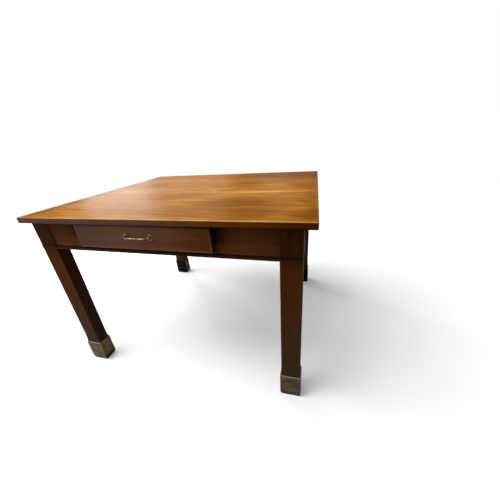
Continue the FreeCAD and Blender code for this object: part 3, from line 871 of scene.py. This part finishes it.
@dataclass
class Worktop:
    """Five boards glued edge to edge, waxed on top and dark along the edges."""

    upper_round: float = 3.5 * MM
    lower_round: float = 1.5 * MM
    corner_round: float = 4.0 * MM
    joint_ease: float = 0.5 * MM
    # Painted shade along the lower edge of the board's sides.
    shade_and_dirt_reach: float = 5.0 * MM
    # A painted sheen on the stained edges, towards the left.
    painted_sheen: float = 0.5
    sheen_full: float = -20.0 * MM
    sheen_clear: float = 260.0 * MM
    wear_fall: float = 0.65
    stain_slope: float = 0.6
    arris_slope: float = 0.95
    arris_turn: float = 0.2
    shade_line_slope: float = 0.9
    board_tones: tuple[float, ...] = (0.0, -0.06, 0.06, 0.02, -0.04)

    def build(self) -> list[Piece]:
        """Make the boards, in order from the front."""
        return [self.board(number, tone) for number, tone in enumerate(self.board_tones, 1)]

    def board(self, number: int, tone: float) -> Piece:
        """Make one board.

        Args:
            number: Its number, with 1 at the front.
            tone: How light its wood is.

        Returns:
            The board.
        """
        node = f"top_board_{number}"
        low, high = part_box(node)
        joints = []
        if number > 1:
            joints.append(low.y)
        if number < len(self.board_tones):
            joints.append(high.y)
        piece = Workpiece(f"waxed_board_{number}")
        piece.block(low, high)

        def at_joint(edge: Edge) -> bool:
            """Take edges at a glued joint."""
            return any(flat_across(edge, Y, joint) for joint in joints)

        def stained(face: Face) -> bool:
            """Take steep faces, and the rounded arris of the ends and the back."""
            arris = max(abs(face.normal.x), face.normal.y) > self.arris_turn and not at_joint(face.edges[0])
            return face.normal.z < (self.arris_slope if arris else self.stain_slope)

        piece.ease(lambda edge: upright(edge) and not at_joint(edge), self.corner_round, segments=4)
        piece.ease(lambda edge: flat_across(edge, Z, high.z) and not at_joint(edge), self.upper_round,
                   segments=4)
        piece.ease(lambda edge: flat_across(edge, Z, low.z) and not at_joint(edge), self.lower_round)
        piece.ease(lambda edge: flat_across(edge, Z, high.z) and at_joint(edge), self.joint_ease, segments=1)
        piece.paint(SECOND, stained)
        piece.mark(Trait.TONE, tone)
        # Painted shade along the lower edge of the board's sides.
        piece.score(UP, low.z + self.shade_and_dirt_reach)
        piece.grade(Trait.GRIME, lambda place: nearness(place.z - low.z, self.shade_and_dirt_reach),
                    lambda face: abs(face.normal.z) < self.shade_line_slope)
        # A painted sheen on the stained faces, towards the left.
        piece.painted_sheen(self.painted_sheen, self.sheen_full, self.sheen_clear,
                    lambda face: face.material_index == SECOND)
        run = high.x - self.sheen_clear
        piece.fade(Trait.WEAR, lambda place: 1 - self.wear_fall * max(0.0, place.x - self.sheen_clear) / run)
        finishes = [WAXED_TOP.material(Grain.ALONG_X), STAINED_EDGE.material(Grain.ALONG_X)]
        return piece.leave("desk", "top_wood", finishes, [node])


@dataclass
class Carcass:
    """Corner posts, fixed front panels, rails and the mitred frame under them."""

    post_ease: float = 1.6 * MM
    frame_wear: float = 0.1
    panel_ease: float = 0.8 * MM
    strip_round: float = 2.0 * MM
    post_tone: float = -0.47
    # Painted light on the posts' faces that look to the sides.
    side_light_tone: float = 0.3
    side_facing: float = 0.9
    panel_tone: float = 0.44
    # Painted shade: darker towards the top, and in the corner beside the drawer.
    top_shade_fall: float = 0.38
    panel_shade: float = 0.6
    shade_reach: float = 100.0 * MM
    shade_low: float = 0.25
    shade_full: float = 0.55
    shade_foot: float = 0.65
    corner_grime: float = 1.0
    corner_reach: float = 55.0 * MM
    rail_tone: float = 0.15
    strip_tone: float = -0.4
    strip_wear: float = 0.3
    strip_shade_reach: float = 4.5 * MM
    shade_and_dirt_reach: float = 6.0 * MM

    def build(self) -> list[Piece]:
        """Make every piece of the carcass that shows.

        Returns:
            The pieces.
        """
        made = [self.post(corner) for corner in CORNERS]
        for side in SIDES:
            made.append(self.front_panel(side))
            made.append(self.rail(f"side_rail_{side}", Y))
        made.append(self.rail("back_rail", X))
        made += [self.strip(side) for side in ("front", "back", *SIDES)]
        made += [dress(f"front_rail_{place}", STAINED.material(Grain.ALONG_X))
                 for place in ("upper", "lower")]
        return made

    def post(self, corner: str) -> Piece:
        """Make one corner post.

        Args:
            corner: The post's corner of the desk.

        Returns:
            The post.
        """
        node = f"corner_post_{corner}"
        low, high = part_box(node)
        piece = Workpiece(f"stained_post_{corner}")
        piece.block(low, high)
        piece.ease(upright, self.post_ease, wear=self.frame_wear)
        piece.mark(Trait.TONE, self.post_tone)
        # Painted light on the faces that look to the sides.
        piece.mark(Trait.TONE, self.side_light_tone, lambda face: abs(face.normal.x) > self.side_facing)
        # Painted shade in the joints under the top and above the strip.
        piece.paint_joint_shade((low.z, high.z), self.shade_and_dirt_reach)
        return piece.leave("desk", "frame_wood", [STAINED.material(Grain.ALONG_Z)], [node])

    def between_posts(self, node: str, axis: int) -> tuple[Vector, Vector]:
        """Give the part of a tenoned board that shows between two posts.

        Args:
            node: The board's node.
            axis: The axis that it runs along.

        Returns:
            Its lowest and highest corner, without the tenons.
        """
        low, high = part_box(node)
        low[axis] = max(low[axis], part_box("corner_post_front_left")[1][axis])
        high[axis] = min(high[axis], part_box("corner_post_back_right")[0][axis])
        return low, high

    def fixed_board(self, node: str, axis: int) -> Workpiece:
        """Shape a board that is tenoned between two posts.

        Args:
            node: The board's node.
            axis: The axis that it runs along.

        Returns:
            The board, still on the bench.
        """
        low, high = self.between_posts(node, axis)
        piece = Workpiece(f"stained_{node}")
        piece.block(low, high)
        piece.ease(every_edge, self.panel_ease, wear=self.frame_wear)
        # Painted shade in the joint under the top.
        piece.paint_joint_shade((high.z,), self.shade_and_dirt_reach)
        return piece

    def rail(self, node: str, axis: int) -> Piece:
        """Make a rail of the sides or the back.

        Args:
            node: The rail's node.
            axis: The axis that it runs along.

        Returns:
            The rail.
        """
        piece = self.fixed_board(node, axis)
        piece.mark(Trait.TONE, self.rail_tone)
        grain = Grain.ALONG_Y if axis == Y else Grain.ALONG_X
        return piece.leave("desk", "frame_wood", [STAINED.material(grain)], [node])

    def front_panel(self, side: str) -> Piece:
        """Make a fixed panel beside the drawer, which darkens towards its post, with painted shade under the
        top and a painted shadow beside the drawer.

        Args:
            side: The side of the drawer that it stands on.

        Returns:
            The panel.
        """
        node = f"front_panel_{side}"
        low, high = self.between_posts(node, X)
        inner, outer = (high.x, low.x) if side == "left" else (low.x, high.x)
        drawer_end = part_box("drawer_front")[0 if side == "left" else 1].x
        height = high.z - low.z

        def corner_at(place: Vector, reach: float, foot: float) -> float:
            """Work out how deep a point lies in the painted shadow of the corner beside the drawer, under
            the top.

            Args:
                place: The point.
                reach: How far the corner reaches from the drawer.
                foot: The share that stays at the panel's foot.

            Returns:
                A share from none to all.
            """
            rise = (place.z - low.z) / height
            depth = clamped((rise - self.shade_low) / (self.shade_full - self.shade_low))
            return (foot + (1 - foot) * depth) * nearness(abs(place.x - drawer_end), reach)

        def tone_at(place: Vector) -> float:
            """Work out the wood's tone at a point, with painted shade under the top and beside the drawer.

            Args:
                place: The point.

            Returns:
                How much lighter or darker it is than the common ground.
            """
            along = (place.x - inner) / (outer - inner)
            shade = self.panel_shade * corner_at(place, self.shade_reach, self.shade_foot)
            return self.panel_tone * (1 - along) - self.top_shade_fall * (place.z - low.z) / height - shade

        def grime_and_shade_at(place: Vector) -> float:
            """Work out the painted shade at a point, in the joint with the top and in the drawer's corner.
            """
            joint = nearness(high.z - place.z, self.shade_and_dirt_reach)
            return max(joint, self.corner_grime * corner_at(place, self.corner_reach, 0.0))

        piece = self.fixed_board(node, X)
        for reach in (0.0, self.corner_reach, self.shade_reach):
            piece.score(ALONG, drawer_end + math.copysign(reach, outer - inner))
        for rise in (self.shade_low, self.shade_full):
            piece.score(UP, low.z + height * rise)
        piece.grade(Trait.TONE, tone_at)
        piece.grade(Trait.GRIME, grime_and_shade_at)
        return piece.leave("desk", "frame_wood", [STAINED.material(Grain.ALONG_X)], [node])

    def strip(self, side: str) -> Piece:
        """Make one side of the frame under the carcass, mitred at both ends.

        Args:
            side: The side of the desk that it runs along.

        Returns:
            The strip.
        """
        node = f"base_frame_{side}"
        low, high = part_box(node)
        runs_along_x = side in ("front", "back")
        outer = {"front": low.y, "back": high.y, "left": low.x, "right": high.x}[side]
        across = Y if runs_along_x else X
        inward = 1 if side in ("front", "left") else -1
        widths = [edge_high[way] - edge_low[way] for way, (edge_low, edge_high)
                  in enumerate((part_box("base_frame_left"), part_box("base_frame_front")))]
        piece = Workpiece(f"stained_strip_{side}")
        piece.block(low, high)
        for corner, end in ((low, -1), (high, 1)):
            point = Vector(corner)
            point[across] = outer
            waste = Vector((0, 0, 0))
            waste[1 - across] = end * widths[across]
            waste[across] = inward * widths[1 - across]
            piece.cut_off(point, waste)
        piece.ease(lambda edge: flat_across(edge, across, outer) and not upright(edge), self.strip_round,
                   segments=4, wear=self.strip_wear)
        grain = Grain.ALONG_X if runs_along_x else Grain.ALONG_Y
        piece.mark(Trait.TONE, self.strip_tone)
        # Painted shade along the top of the strip, under the panels and posts.
        piece.paint_joint_shade((high.z,), self.strip_shade_reach)
        return piece.leave("desk", "frame_wood", [STAINED.material(grain)], [node])


@dataclass
class Undercarriage:
    """Four straight legs in brass shoes."""

    flare_height: float = 40.0 * MM
    flare_reach: float = 2.0 * MM
    flare_steps: int = 8
    leg_ease: float = 1.8 * MM
    shoe_bevel_height: float = 12.0 * MM
    shoe_bevel_depth: float = 3.0 * MM
    shoe_edge: float = 1.2 * MM
    ledge_ease: float = 0.4 * MM
    ledge_angle: float = 0.2
    shoe_wall: float = 3.0 * MM
    shoe_floor: float = 5.0 * MM
    shoe_ease: float = 2.0 * MM
    sole_inset: float = 8.0 * MM
    sole_hollow: float = 0.6 * MM
    fit: float = 0.2 * MM
    leg_tone: float = -0.2
    dust_top: float = 480.0 * MM
    dust_most: float = 0.95
    shade_and_dirt_reach: float = 7.0 * MM
    # Painted shade at the top of the legs, under the carcass.
    shade_reach: float = 45.0 * MM
    shade_grime: float = 0.5
    # A dark band at the foot of each shoe.
    sole_dark_reach: float = 26.0 * MM
    sole_grime: float = 3.0
    # Painted shade on the back shoes, and low on one back leg.
    back_shade: float = 2.0
    back_shade_rise: float = 50.0 * MM
    back_shaded_leg: str = "back_right"
    leg_wear: float = 0.1

    def build(self) -> list[Piece]:
        """Make the legs and their shoes, corner by corner."""
        return [maker(corner) for corner in CORNERS for maker in (self.leg, self.shoe)]

    def shaft(self, corner: str) -> tuple[Vector, Vector]:
        """Measure a leg's shaft, which is as thick as its post.

        Args:
            corner: The leg's corner of the desk.

        Returns:
            The shaft's middle and half its size.
        """
        low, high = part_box(f"corner_post_{corner}")
        return (low + high) / 2, (high - low) / 2

    def shoe_proud(self, corner: str) -> float:
        """Give how far a shoe stands out from the faces of its leg."""
        low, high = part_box(f"shoe_{corner}")
        return (high.x - low.x) / 2 - self.shaft(corner)[1].x

    def leg(self, corner: str) -> Piece:
        """Make one leg, with the tongue that its shoe hides.

        Args:
            corner: The leg's corner of the desk.

        Returns:
            The leg.
        """
        node = f"leg_{corner}"
        low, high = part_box(node)
        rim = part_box(f"shoe_{corner}")[1].z
        middle, half = self.shaft(corner)
        tongue = self.shoe_proud(corner) - self.shoe_wall - self.fit
        radius = (self.flare_reach ** 2 + self.flare_height ** 2) / (2 * self.flare_reach)
        levels = [(tongue, low.z), (tongue, rim)]
        for step in range(self.flare_steps + 1):
            rise = self.flare_height * step / self.flare_steps
            drop = self.flare_height - rise
            levels.append((radius - math.sqrt(radius ** 2 - drop ** 2), rim + rise))
        levels += [(0.0, height) for height in (self.dust_top, high.z - self.shade_reach, high.z)]
        piece = Workpiece(f"stained_leg_{corner}")
        piece.tower(middle, half, levels)
        piece.ease(lambda edge: upright(edge) and edge_middle(edge).z > rim, self.leg_ease,
                   wear=self.leg_wear)
        # One back leg has painted shade just above its shoe.
        in_back_shade = corner == self.back_shaded_leg
        darkening, reach = (self.back_shade, self.back_shade_rise) if in_back_shade else (1.0, self.shade_and_dirt_reach)

        def grime_and_shade_at(place: Vector) -> float:
            """Work out the darkening at a point, above the shoe's ledge, with painted shade under the
            carcass.
            """
            shade = self.shade_grime * nearness(high.z - place.z, self.shade_reach)
            return max(darkening * nearness(place.z - rim, reach), shade)

        piece.score(UP, rim + reach)
        piece.mark(Trait.TONE, self.leg_tone)
        piece.grade(Trait.DUST_AND_SHEEN, lambda place: self.dust_most * nearness(place.z, self.dust_top))
        piece.grade(Trait.GRIME, grime_and_shade_at)
        return piece.leave("desk", "frame_wood", [STAINED.material(Grain.ALONG_Z)], [node])

    def back_shade_at(self, corner: str, place: Vector) -> float:
        """Work out how deep a point lies in the painted shade that covers the back shoes towards the knee
        space.

        Args:
            corner: The shoe's corner of the desk.
            place: The point.

        Returns:
            A share from none to all, which falls off round the outer corner.
        """
        if not corner.startswith("back"):
            return 0.0
        middle, half = self.shaft(corner)
        inward = Vector((-math.copysign(1.0, middle.x), -1.0, 0.0))
        full, clear = half.y - half.x, -half.y - half.x
        return clamped(((place - middle).dot(inward) - clear) / (full - clear))

    def shoe(self, corner: str) -> Piece:
        """Make one shoe: a cup with a bevelled foot, a ledge round the leg and a hollowed sole.

        Args:
            corner: The shoe's corner of the desk.

        Returns:
            The shoe.
        """
        node = f"shoe_{corner}"
        low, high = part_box(node)
        middle, half = self.shaft(corner)
        proud = self.shoe_proud(corner)
        pocket = proud - self.shoe_wall
        piece = Workpiece(f"brass_shoe_{corner}")
        piece.tower(middle, half, [
            (proud - self.shoe_bevel_depth, low.z),
            (proud, low.z + self.shoe_bevel_height),
            (proud, high.z - self.shoe_edge),
            (proud - self.shoe_edge, high.z),
            (pocket, high.z),
            (pocket, low.z + self.shoe_floor),
        ])
        sole = [face for face in piece.bm.faces if all(vert.co.z < low.z + SAME for vert in face.verts)]
        bmesh.ops.inset_region(piece.bm, faces=sole, thickness=self.sole_inset, depth=0.0,
                               use_even_offset=True)
        bmesh.ops.translate(piece.bm, vec=(0, 0, self.sole_hollow), verts=sole[0].verts[:])

        def outside_corner(edge: Edge) -> bool:
            """Take the upright edges outside the pocket."""
            return upright(edge) and abs(edge_middle(edge).x - middle.x) > half.x + pocket + SAME

        def on_ledge(edge: Edge) -> bool:
            """Take the level edges of the ledge."""
            high_up = edge_middle(edge).z > high.z - self.shoe_edge - SAME
            return high_up and not upright(edge) and edge.calc_face_angle(0.0) > self.ledge_angle

        def grime_and_shade_at(place: Vector) -> float:
            """Work out the darkening at a point: darker towards the floor, and the painted shade of the back
            shoes.
            """
            darkening = self.sole_grime * nearness(place.z - low.z, self.sole_dark_reach)
            return max(darkening, self.back_shade * self.back_shade_at(corner, place))

        piece.ease(outside_corner, self.shoe_ease, wear=0.0)
        # The ledge's rounds are rubbed bright, partly as a painted highlight.
        piece.ease(on_ledge, self.ledge_ease, segments=2)
        piece.score(UP, low.z + self.sole_dark_reach)
        piece.grade(Trait.GRIME, grime_and_shade_at)
        # Dust and a painted highlight on the top of the ledge.
        piece.mark(Trait.DUST_AND_SHEEN, 1.0, lambda face: face.calc_center_median().z > high.z - self.shoe_edge)
        # On the back shoes the painted shade takes that away.
        piece.fade(Trait.DUST_AND_SHEEN, lambda place: 1 - self.back_shade_at(corner, place))
        return piece.leave("desk", "shoe_brass", [SHOE_BRASS.material()], [node])


@dataclass
class Drawer:
    """The drawer: a proud stained front on a raw wood box."""

    front_round: float = 4.0 * MM
    back_ease: float = 0.8 * MM
    front_tone: float = 0.22
    end_fall: float = 0.3
    end_reach: float = 150.0 * MM
    edge_wear: float = 2.7
    wear_reach: float = 11.0 * MM
    end_wear: float = 0.6
    end_facing: float = 0.95
    # A painted sheen over the front, towards the left.
    painted_sheen: float = 0.42
    sheen_full: float = -40.0 * MM
    sheen_clear: float = 170.0 * MM
    shade_and_dirt_reach: float = 6.0 * MM
    box_across: tuple[str, ...] = ("drawer_back",)
    box_along: tuple[str, ...] = ("drawer_side_left", "drawer_side_right", "drawer_bottom")

    def build(self) -> list[Piece]:
        """Make the front, and dress the box behind it.

        Returns:
            The front and the nodes of the box.
        """
        made = [self.front()]
        made += [dress(node, RAW_WOOD.material(Grain.ALONG_X)) for node in self.box_across]
        made += [dress(node, RAW_WOOD.material(Grain.ALONG_Y)) for node in self.box_along]
        return made

    def front(self) -> Piece:
        """Make the front, rounded on the edges of its face, with end grain darkened as painted shade, a
        rubbed lower edge, painted shade under the top and a painted sheen towards the left.

        Returns:
            The drawer's front.
        """
        low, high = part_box("drawer_front")
        piece = Workpiece("stained_drawer_front")
        piece.block(low, high)
        piece.ease(lambda edge: flat_across(edge, Y, low.y), self.front_round, segments=5)
        piece.ease(lambda edge: flat_across(edge, Y, high.y), self.back_ease, segments=2)
        for reach in (self.end_reach, self.wear_reach):
            for place in (low.x + reach, high.x - reach):
                piece.score(ALONG, place)
        piece.score(UP, low.z + self.wear_reach)

        def near_end(place: Vector, reach: float) -> float:
            """Give how near a point is to one of the ends."""
            return nearness(min(place.x - low.x, high.x - place.x), reach)

        def wear_at(place: Vector) -> float:
            """Work out the wear at a point, most along the lower edge and less up both ends.

            Args:
                place: The point.

            Returns:
                The amount of wear.
            """
            rise = place.z - low.z
            up_the_end = self.end_wear * near_end(place, self.wear_reach) * (1 - rise / (high.z - low.z))
            return self.edge_wear * max(nearness(rise, self.wear_reach), up_the_end)

        piece.grade(Trait.TONE,
                    lambda place: self.front_tone - self.end_fall * near_end(place, self.end_reach))
        piece.grade(Trait.WEAR, wear_at)
        # Painted shade under the top.
        piece.paint_joint_shade((high.z,), self.shade_and_dirt_reach)
        # A painted sheen towards the left.
        piece.painted_sheen(self.painted_sheen, self.sheen_full, self.sheen_clear)
        piece.paint(SECOND, lambda face: abs(face.normal.x) > self.end_facing)
        finishes = [SHEENED_STAIN.material(Grain.ALONG_X), END_GRAIN_IN_SHADE.material(Grain.ALONG_X)]
        return piece.leave("drawer", "frame_wood", finishes, ["drawer_front"])


@dataclass
class BowHandle:
    """A bent brass rod on two turned feet, each on a turned rosette."""

    rod_radius: float = 3.0 * MM
    rod_sides: int = 20
    bend_radius: float = 6.0 * MM
    bend: float = math.radians(45)
    bend_steps: int = 6
    shoulder: float = 10.0 * MM
    foot_radius: float = 4.5 * MM
    foot_length: float = 4.0 * MM
    foot_sides: int = 28
    ball_steps: int = 6
    plate_thickness: float = 2.5 * MM
    plate_chamfer: float = 1.25 * MM
    rim_width: float = 2.5 * MM
    groove_width: float = 1.5 * MM
    groove_depth: float = 0.625 * MM
    boss_radius: float = 6.5 * MM
    boss_height: float = 1.5 * MM
    ring_ease: float = 0.35 * MM
    ring_angle: float = 0.4
    plate_grime: float = 0.85
    rod_grime: float = 0.25
    # Painted shade on the rod's underside.
    under_grime: float = 1.0

    def build(self) -> list[Piece]:
        """Make the rosettes and the bow."""
        return [self.rosette("left"), self.rosette("right"), self.bow()]

    def foot_point(self, side: str) -> Vector:
        """Give the middle of a rosette's back, on the drawer's face."""
        low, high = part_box(f"handle_rosette_{side}")
        return Vector(((low.x + high.x) / 2, high.y, (low.z + high.z) / 2))

    def rosette(self, side: str) -> Piece:
        """Make one rosette: a plate with an eased rim, a groove and a low boss.

        Args:
            side: The side of the handle that it carries.

        Returns:
            The rosette.
        """
        node = f"handle_rosette_{side}"
        low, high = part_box(node)
        edge, face = (high.x - low.x) / 2, self.plate_thickness
        groove = edge - self.rim_width
        piece = Workpiece(f"brass_rosette_{side}")
        piece.turned(self.foot_point(side), [
            (0.0, 0.0),
            (edge, 0.0),
            (edge, face - self.plate_chamfer),
            (edge - self.plate_chamfer, face),
            (groove, face),
            (groove - self.groove_width / 2, face - self.groove_depth),
            (groove - self.groove_width, face),
            (self.boss_radius + self.boss_height, face),
            (self.boss_radius, face + self.boss_height),
            (0.0, face + self.boss_height),
        ])
        piece.ease(lambda line: line.calc_face_angle(0.0) > self.ring_angle, self.ring_ease, segments=2)
        piece.mark(Trait.GRIME, self.plate_grime)
        return piece.leave("drawer", "handle_brass", [HANDLE_BRASS.material()], [node])

    def bow(self) -> Piece:
        """Make the bow: half of its rod is swept from the middle outwards, and mirrored.

        Returns:
            The bow, with its feet.
        """
        left, right = self.foot_point("left"), self.foot_point("right")
        middle = (left + right) / 2
        start = Vector((middle.x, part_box("handle_bow")[0].y + self.rod_radius, middle.z))
        tangent = self.bend_radius * math.tan(self.bend / 2)
        run = right.x - middle.x - self.shoulder - tangent
        arm = self.shoulder / math.cos(self.bend) - tangent
        piece = Workpiece("brass_bow")
        facing = Matrix.Translation(start) @ Matrix.Rotation(math.pi / 2, 4, "Y")
        made = bmesh.ops.create_circle(piece.bm, cap_ends=False, segments=self.rod_sides,
                                       radius=self.rod_radius, matrix=facing)
        verts = piece.draw_out(made["verts"], ALONG * run)
        bent = bmesh.ops.spin(piece.bm, geom=verts + piece.ring_of(verts),
                              cent=start + Vector((run, self.bend_radius, 0)), axis=UP, angle=self.bend,
                              steps=self.bend_steps, use_merge=False, use_duplicate=False)
        inward = Vector((math.cos(self.bend), math.sin(self.bend), 0))
        verts = piece.draw_out(verts_of(bent["geom_last"]), inward * arm)
        bmesh.ops.contextual_create(piece.bm, geom=piece.ring_of(verts))
        bmesh.ops.mirror(piece.bm, geom=piece.whole(), matrix=Matrix.Translation(-start), merge_dist=SAME,
                         axis="X")
        for foot in (left, right):
            self.knuckle(piece, foot)
        # Grime on the rod's top, and painted shade on its underside.
        piece.grade(Trait.GRIME, lambda place: self.rod_grime if place.z > middle.z else self.under_grime)
        return piece.leave("drawer", "handle_brass", [HANDLE_BRASS.material()], ["handle_bow"])

    def knuckle(self, piece: Workpiece, foot: Vector) -> None:
        """Add a turned foot with a ball on it, where the rod ends.

        Args:
            piece: The workpiece.
            foot: The middle of the rosette's back.
        """
        stand = self.plate_thickness + self.boss_height
        ball = stand + self.foot_length
        outline = [(0.0, stand), (self.foot_radius, stand)]
        for step in range(self.ball_steps + 1):
            turn = math.pi / 2 * step / self.ball_steps
            outline.append((self.foot_radius * math.cos(turn), ball + self.foot_radius * math.sin(turn)))
        piece.turned(foot, outline, self.foot_sides)


@dataclass
class Fixings:
    """What shows only from below or with the drawer out: runners, buttons, screws and studs."""

    rails_along: tuple[str, ...] = ("drawer_runner", "drawer_guide", "drawer_kicker")
    steel: tuple[str, ...] = ("drawer_bottom_screws", "handle_screws", "leg_studs", "post_inserts",
                              "shoe_screws", "top_screws")

    def build(self) -> list[Piece]:
        """Dress the nodes that keep their CAD shape.

        Returns:
            The nodes' objects.
        """
        made = [dress(f"{node}_{side}", RAW_WOOD.material(Grain.ALONG_Y))
                for node in self.rails_along for side in SIDES]
        made += [dress("top_tongues", RAW_WOOD.material(Grain.ALONG_X)),
                 dress("top_buttons", RAW_WOOD.material(Grain.ALONG_Y))]
        made += [dress(node, PLAIN_STEEL.material()) for node in self.steel]
        return made


@dataclass(frozen=True)
class Window:
    """A bright opening in the wall behind the desk."""

    place: float
    width: float
    power: float


@dataclass
class Studio:
    """A white floor, a row of key lights high on the left, a front light and windows for the top's sheen."""

    floor_size: float = 40.0
    floor_colour: str = "#f0f0f0"
    floor_bounce: str = "#8a8a8a"
    floor_glow: float = 0.162
    sky_colour: str = "#ffffff"
    sky_level: float = 0.16
    key_strength: float = 3.1
    key_spread: float = math.radians(36)
    keys_from: tuple[Vector, ...] = (Vector((-0.9, -0.1, 0.8)), Vector((-0.53, -0.12, 0.8)),
                                     Vector((-0.16, -0.14, 0.8)))
    front_place: Vector = Vector((-1.6, -2.2, 1.7))
    front_size: float = 1.5
    front_power: float = 24.0
    wall_y: float = 1.9
    window_height: float = 1.45
    window_drop: float = 0.9
    windows: tuple[Window, ...] = (Window(-2.4, 1.3, 64.0), Window(-1.17, 1.2, 13.5),
                                   Window(0.04, 0.38, 2.3))
    aim: Vector = Vector((0.0, 0.0, 0.7))
    camera_place: Vector = Vector((0.53992, -1.09752, 0.97683))
    camera_yaw: float = math.radians(15.99)
    camera_pitch: float = math.radians(25.40)
    camera_roll: float = math.radians(-4.30)
    camera_lens_mm: float = 17.07
    camera_sensor_mm: float = 36.0

    def build(self) -> None:
        """Set up floor, world, lights, view and camera."""
        self.floor()
        self.world()
        self.key()
        self.front()
        for window in self.windows:
            self.window(window)
        self.camera()
        bpy.context.scene.view_settings.view_transform = "Standard"

    def seen(self, tree: Tree) -> Socket:
        """Tell rays that the eye follows, straight, by reflection or through glass, from light's own.

        Args:
            tree: The node tree that asks.

        Returns:
            1 for such a ray and 0 for the rest.
        """
        path = add_node(tree, "LightPath")
        straight = add_node(tree, "Math", {"operation": "MAXIMUM"},
                            links={0: path.outputs["Is Camera Ray"], 1: path.outputs["Is Glossy Ray"]})
        both = add_node(tree, "Math", {"operation": "MAXIMUM"},
                        links={0: straight.outputs[0], 1: path.outputs["Is Transmission Ray"]})
        return both.outputs[0]

    def floor(self) -> None:
        """Lay a matt floor that keeps the shadow, looks white elsewhere and throws back less light."""
        bm = bmesh.new()
        bmesh.ops.create_grid(bm, x_segments=1, y_segments=1, size=self.floor_size / 2)
        mesh = bpy.data.meshes.new("floor")
        bm.to_mesh(mesh)
        bm.free()
        material = empty_material("matt_white_paint")
        tree = material.node_tree
        seen = self.seen(tree)
        colour = add_node(tree, "Mix", COLOUR_MIX, {COLOUR_A: linear(self.floor_bounce),
                                                    COLOUR_B: linear(self.floor_colour)}, {FACTOR: seen})
        paint = add_node(tree, "BsdfDiffuse", links={"Color": colour.outputs[MIXED]})
        glow = add_node(tree, "Math", {"operation": "MULTIPLY"}, {1: self.floor_glow}, {0: seen})
        light = add_node(tree, "Emission", links={"Strength": glow.outputs[0]})
        both = add_node(tree, "AddShader", links={0: paint.outputs[0], 1: light.outputs[0]})
        add_node(tree, "OutputMaterial", links={"Surface": both.outputs[0]})
        mesh.materials.append(material)
        placed("floor", mesh)

    def world(self) -> None:
        """Surround the desk with a soft sky that is white to the eye."""
        world = bpy.data.worlds.new("white_room")
        world.use_nodes = True
        tree = world.node_tree
        tree.nodes.clear()
        level = add_node(tree, "MapRange", values=dict(zip(MAP_RANGE, (0.0, 1.0, self.sky_level, 1.0))),
                         links={0: self.seen(tree)})
        sky = add_node(tree, "Background", values={"Color": linear(self.sky_colour)},
                       links={"Strength": level.outputs[0]})
        add_node(tree, "OutputWorld", links={"Surface": sky.outputs[0]})
        bpy.context.scene.world = world

    def hang(self, name: str, kind: str, power: float, place: Vector, toward: Vector) -> bpy.types.Light:
        """Hang a light that the camera doesn't see.

        Args:
            name: The light's name.
            kind: Its type.
            power: Its power or strength.
            place: Where it hangs.
            toward: The point that it faces.

        Returns:
            The light, for its size or spread.
        """
        data = bpy.data.lights.new(name, kind)
        data.energy = power
        light = placed(name, data)
        turn = (toward - place).to_track_quat("-Z", "Y").to_matrix().to_4x4()
        light.matrix_world = Matrix.Translation(place) @ turn
        light.visible_camera = False
        return data

    def key(self) -> None:
        """Light everything from a row of soft lights on the left, for a shadow that fades to the right."""
        for place in self.keys_from:
            power = self.key_strength / len(self.keys_from)
            self.hang("key", "SUN", power, self.aim + place, self.aim).angle = self.key_spread

    def front(self) -> None:
        """Light the front softly from the left, above the eye."""
        self.hang("front", "AREA", self.front_power, self.front_place, self.aim).size = self.front_size

    def window(self, window: Window) -> None:
        """Open a window in the wall behind the desk, for the top to mirror softly.

        Args:
            window: Its place and width along the wall, and its power.
        """
        place = Vector((window.place, self.wall_y, self.window_height))
        data = self.hang("window", "AREA", window.power, place, place + FRONT)
        data.shape = "RECTANGLE"
        data.size, data.size_y = window.width, self.window_drop

    def camera(self) -> None:
        """Set the camera: turned to the left, tipped down and rolled a little."""
        data = bpy.data.cameras.new("camera")
        data.sensor_fit = "HORIZONTAL"
        data.sensor_width = self.camera_sensor_mm
        data.lens = self.camera_lens_mm
        camera = placed("camera", data)
        camera.matrix_world = (Matrix.Translation(self.camera_place)
                               @ Matrix.Rotation(self.camera_yaw, 4, "Z")
                               @ Matrix.Rotation(math.pi / 2 - self.camera_pitch, 4, "X")
                               @ Matrix.Rotation(self.camera_roll, 4, "Z"))
        bpy.context.scene.camera = camera


def main() -> None:
    """Build the desk's sub-assemblies in order, then the studio round them."""
    logging.basicConfig(level=logging.INFO, format="%(name)s: %(message)s")
    for assembly in (Worktop(), Carcass(), Undercarriage(), Drawer(), BowHandle(), Fixings()):
        for piece in assembly.build():
            LOG.info("%s: %s on %s", type(assembly).__name__, piece.name, piece["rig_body"])
    Studio().build()


if __name__ == "__main__":
    main()
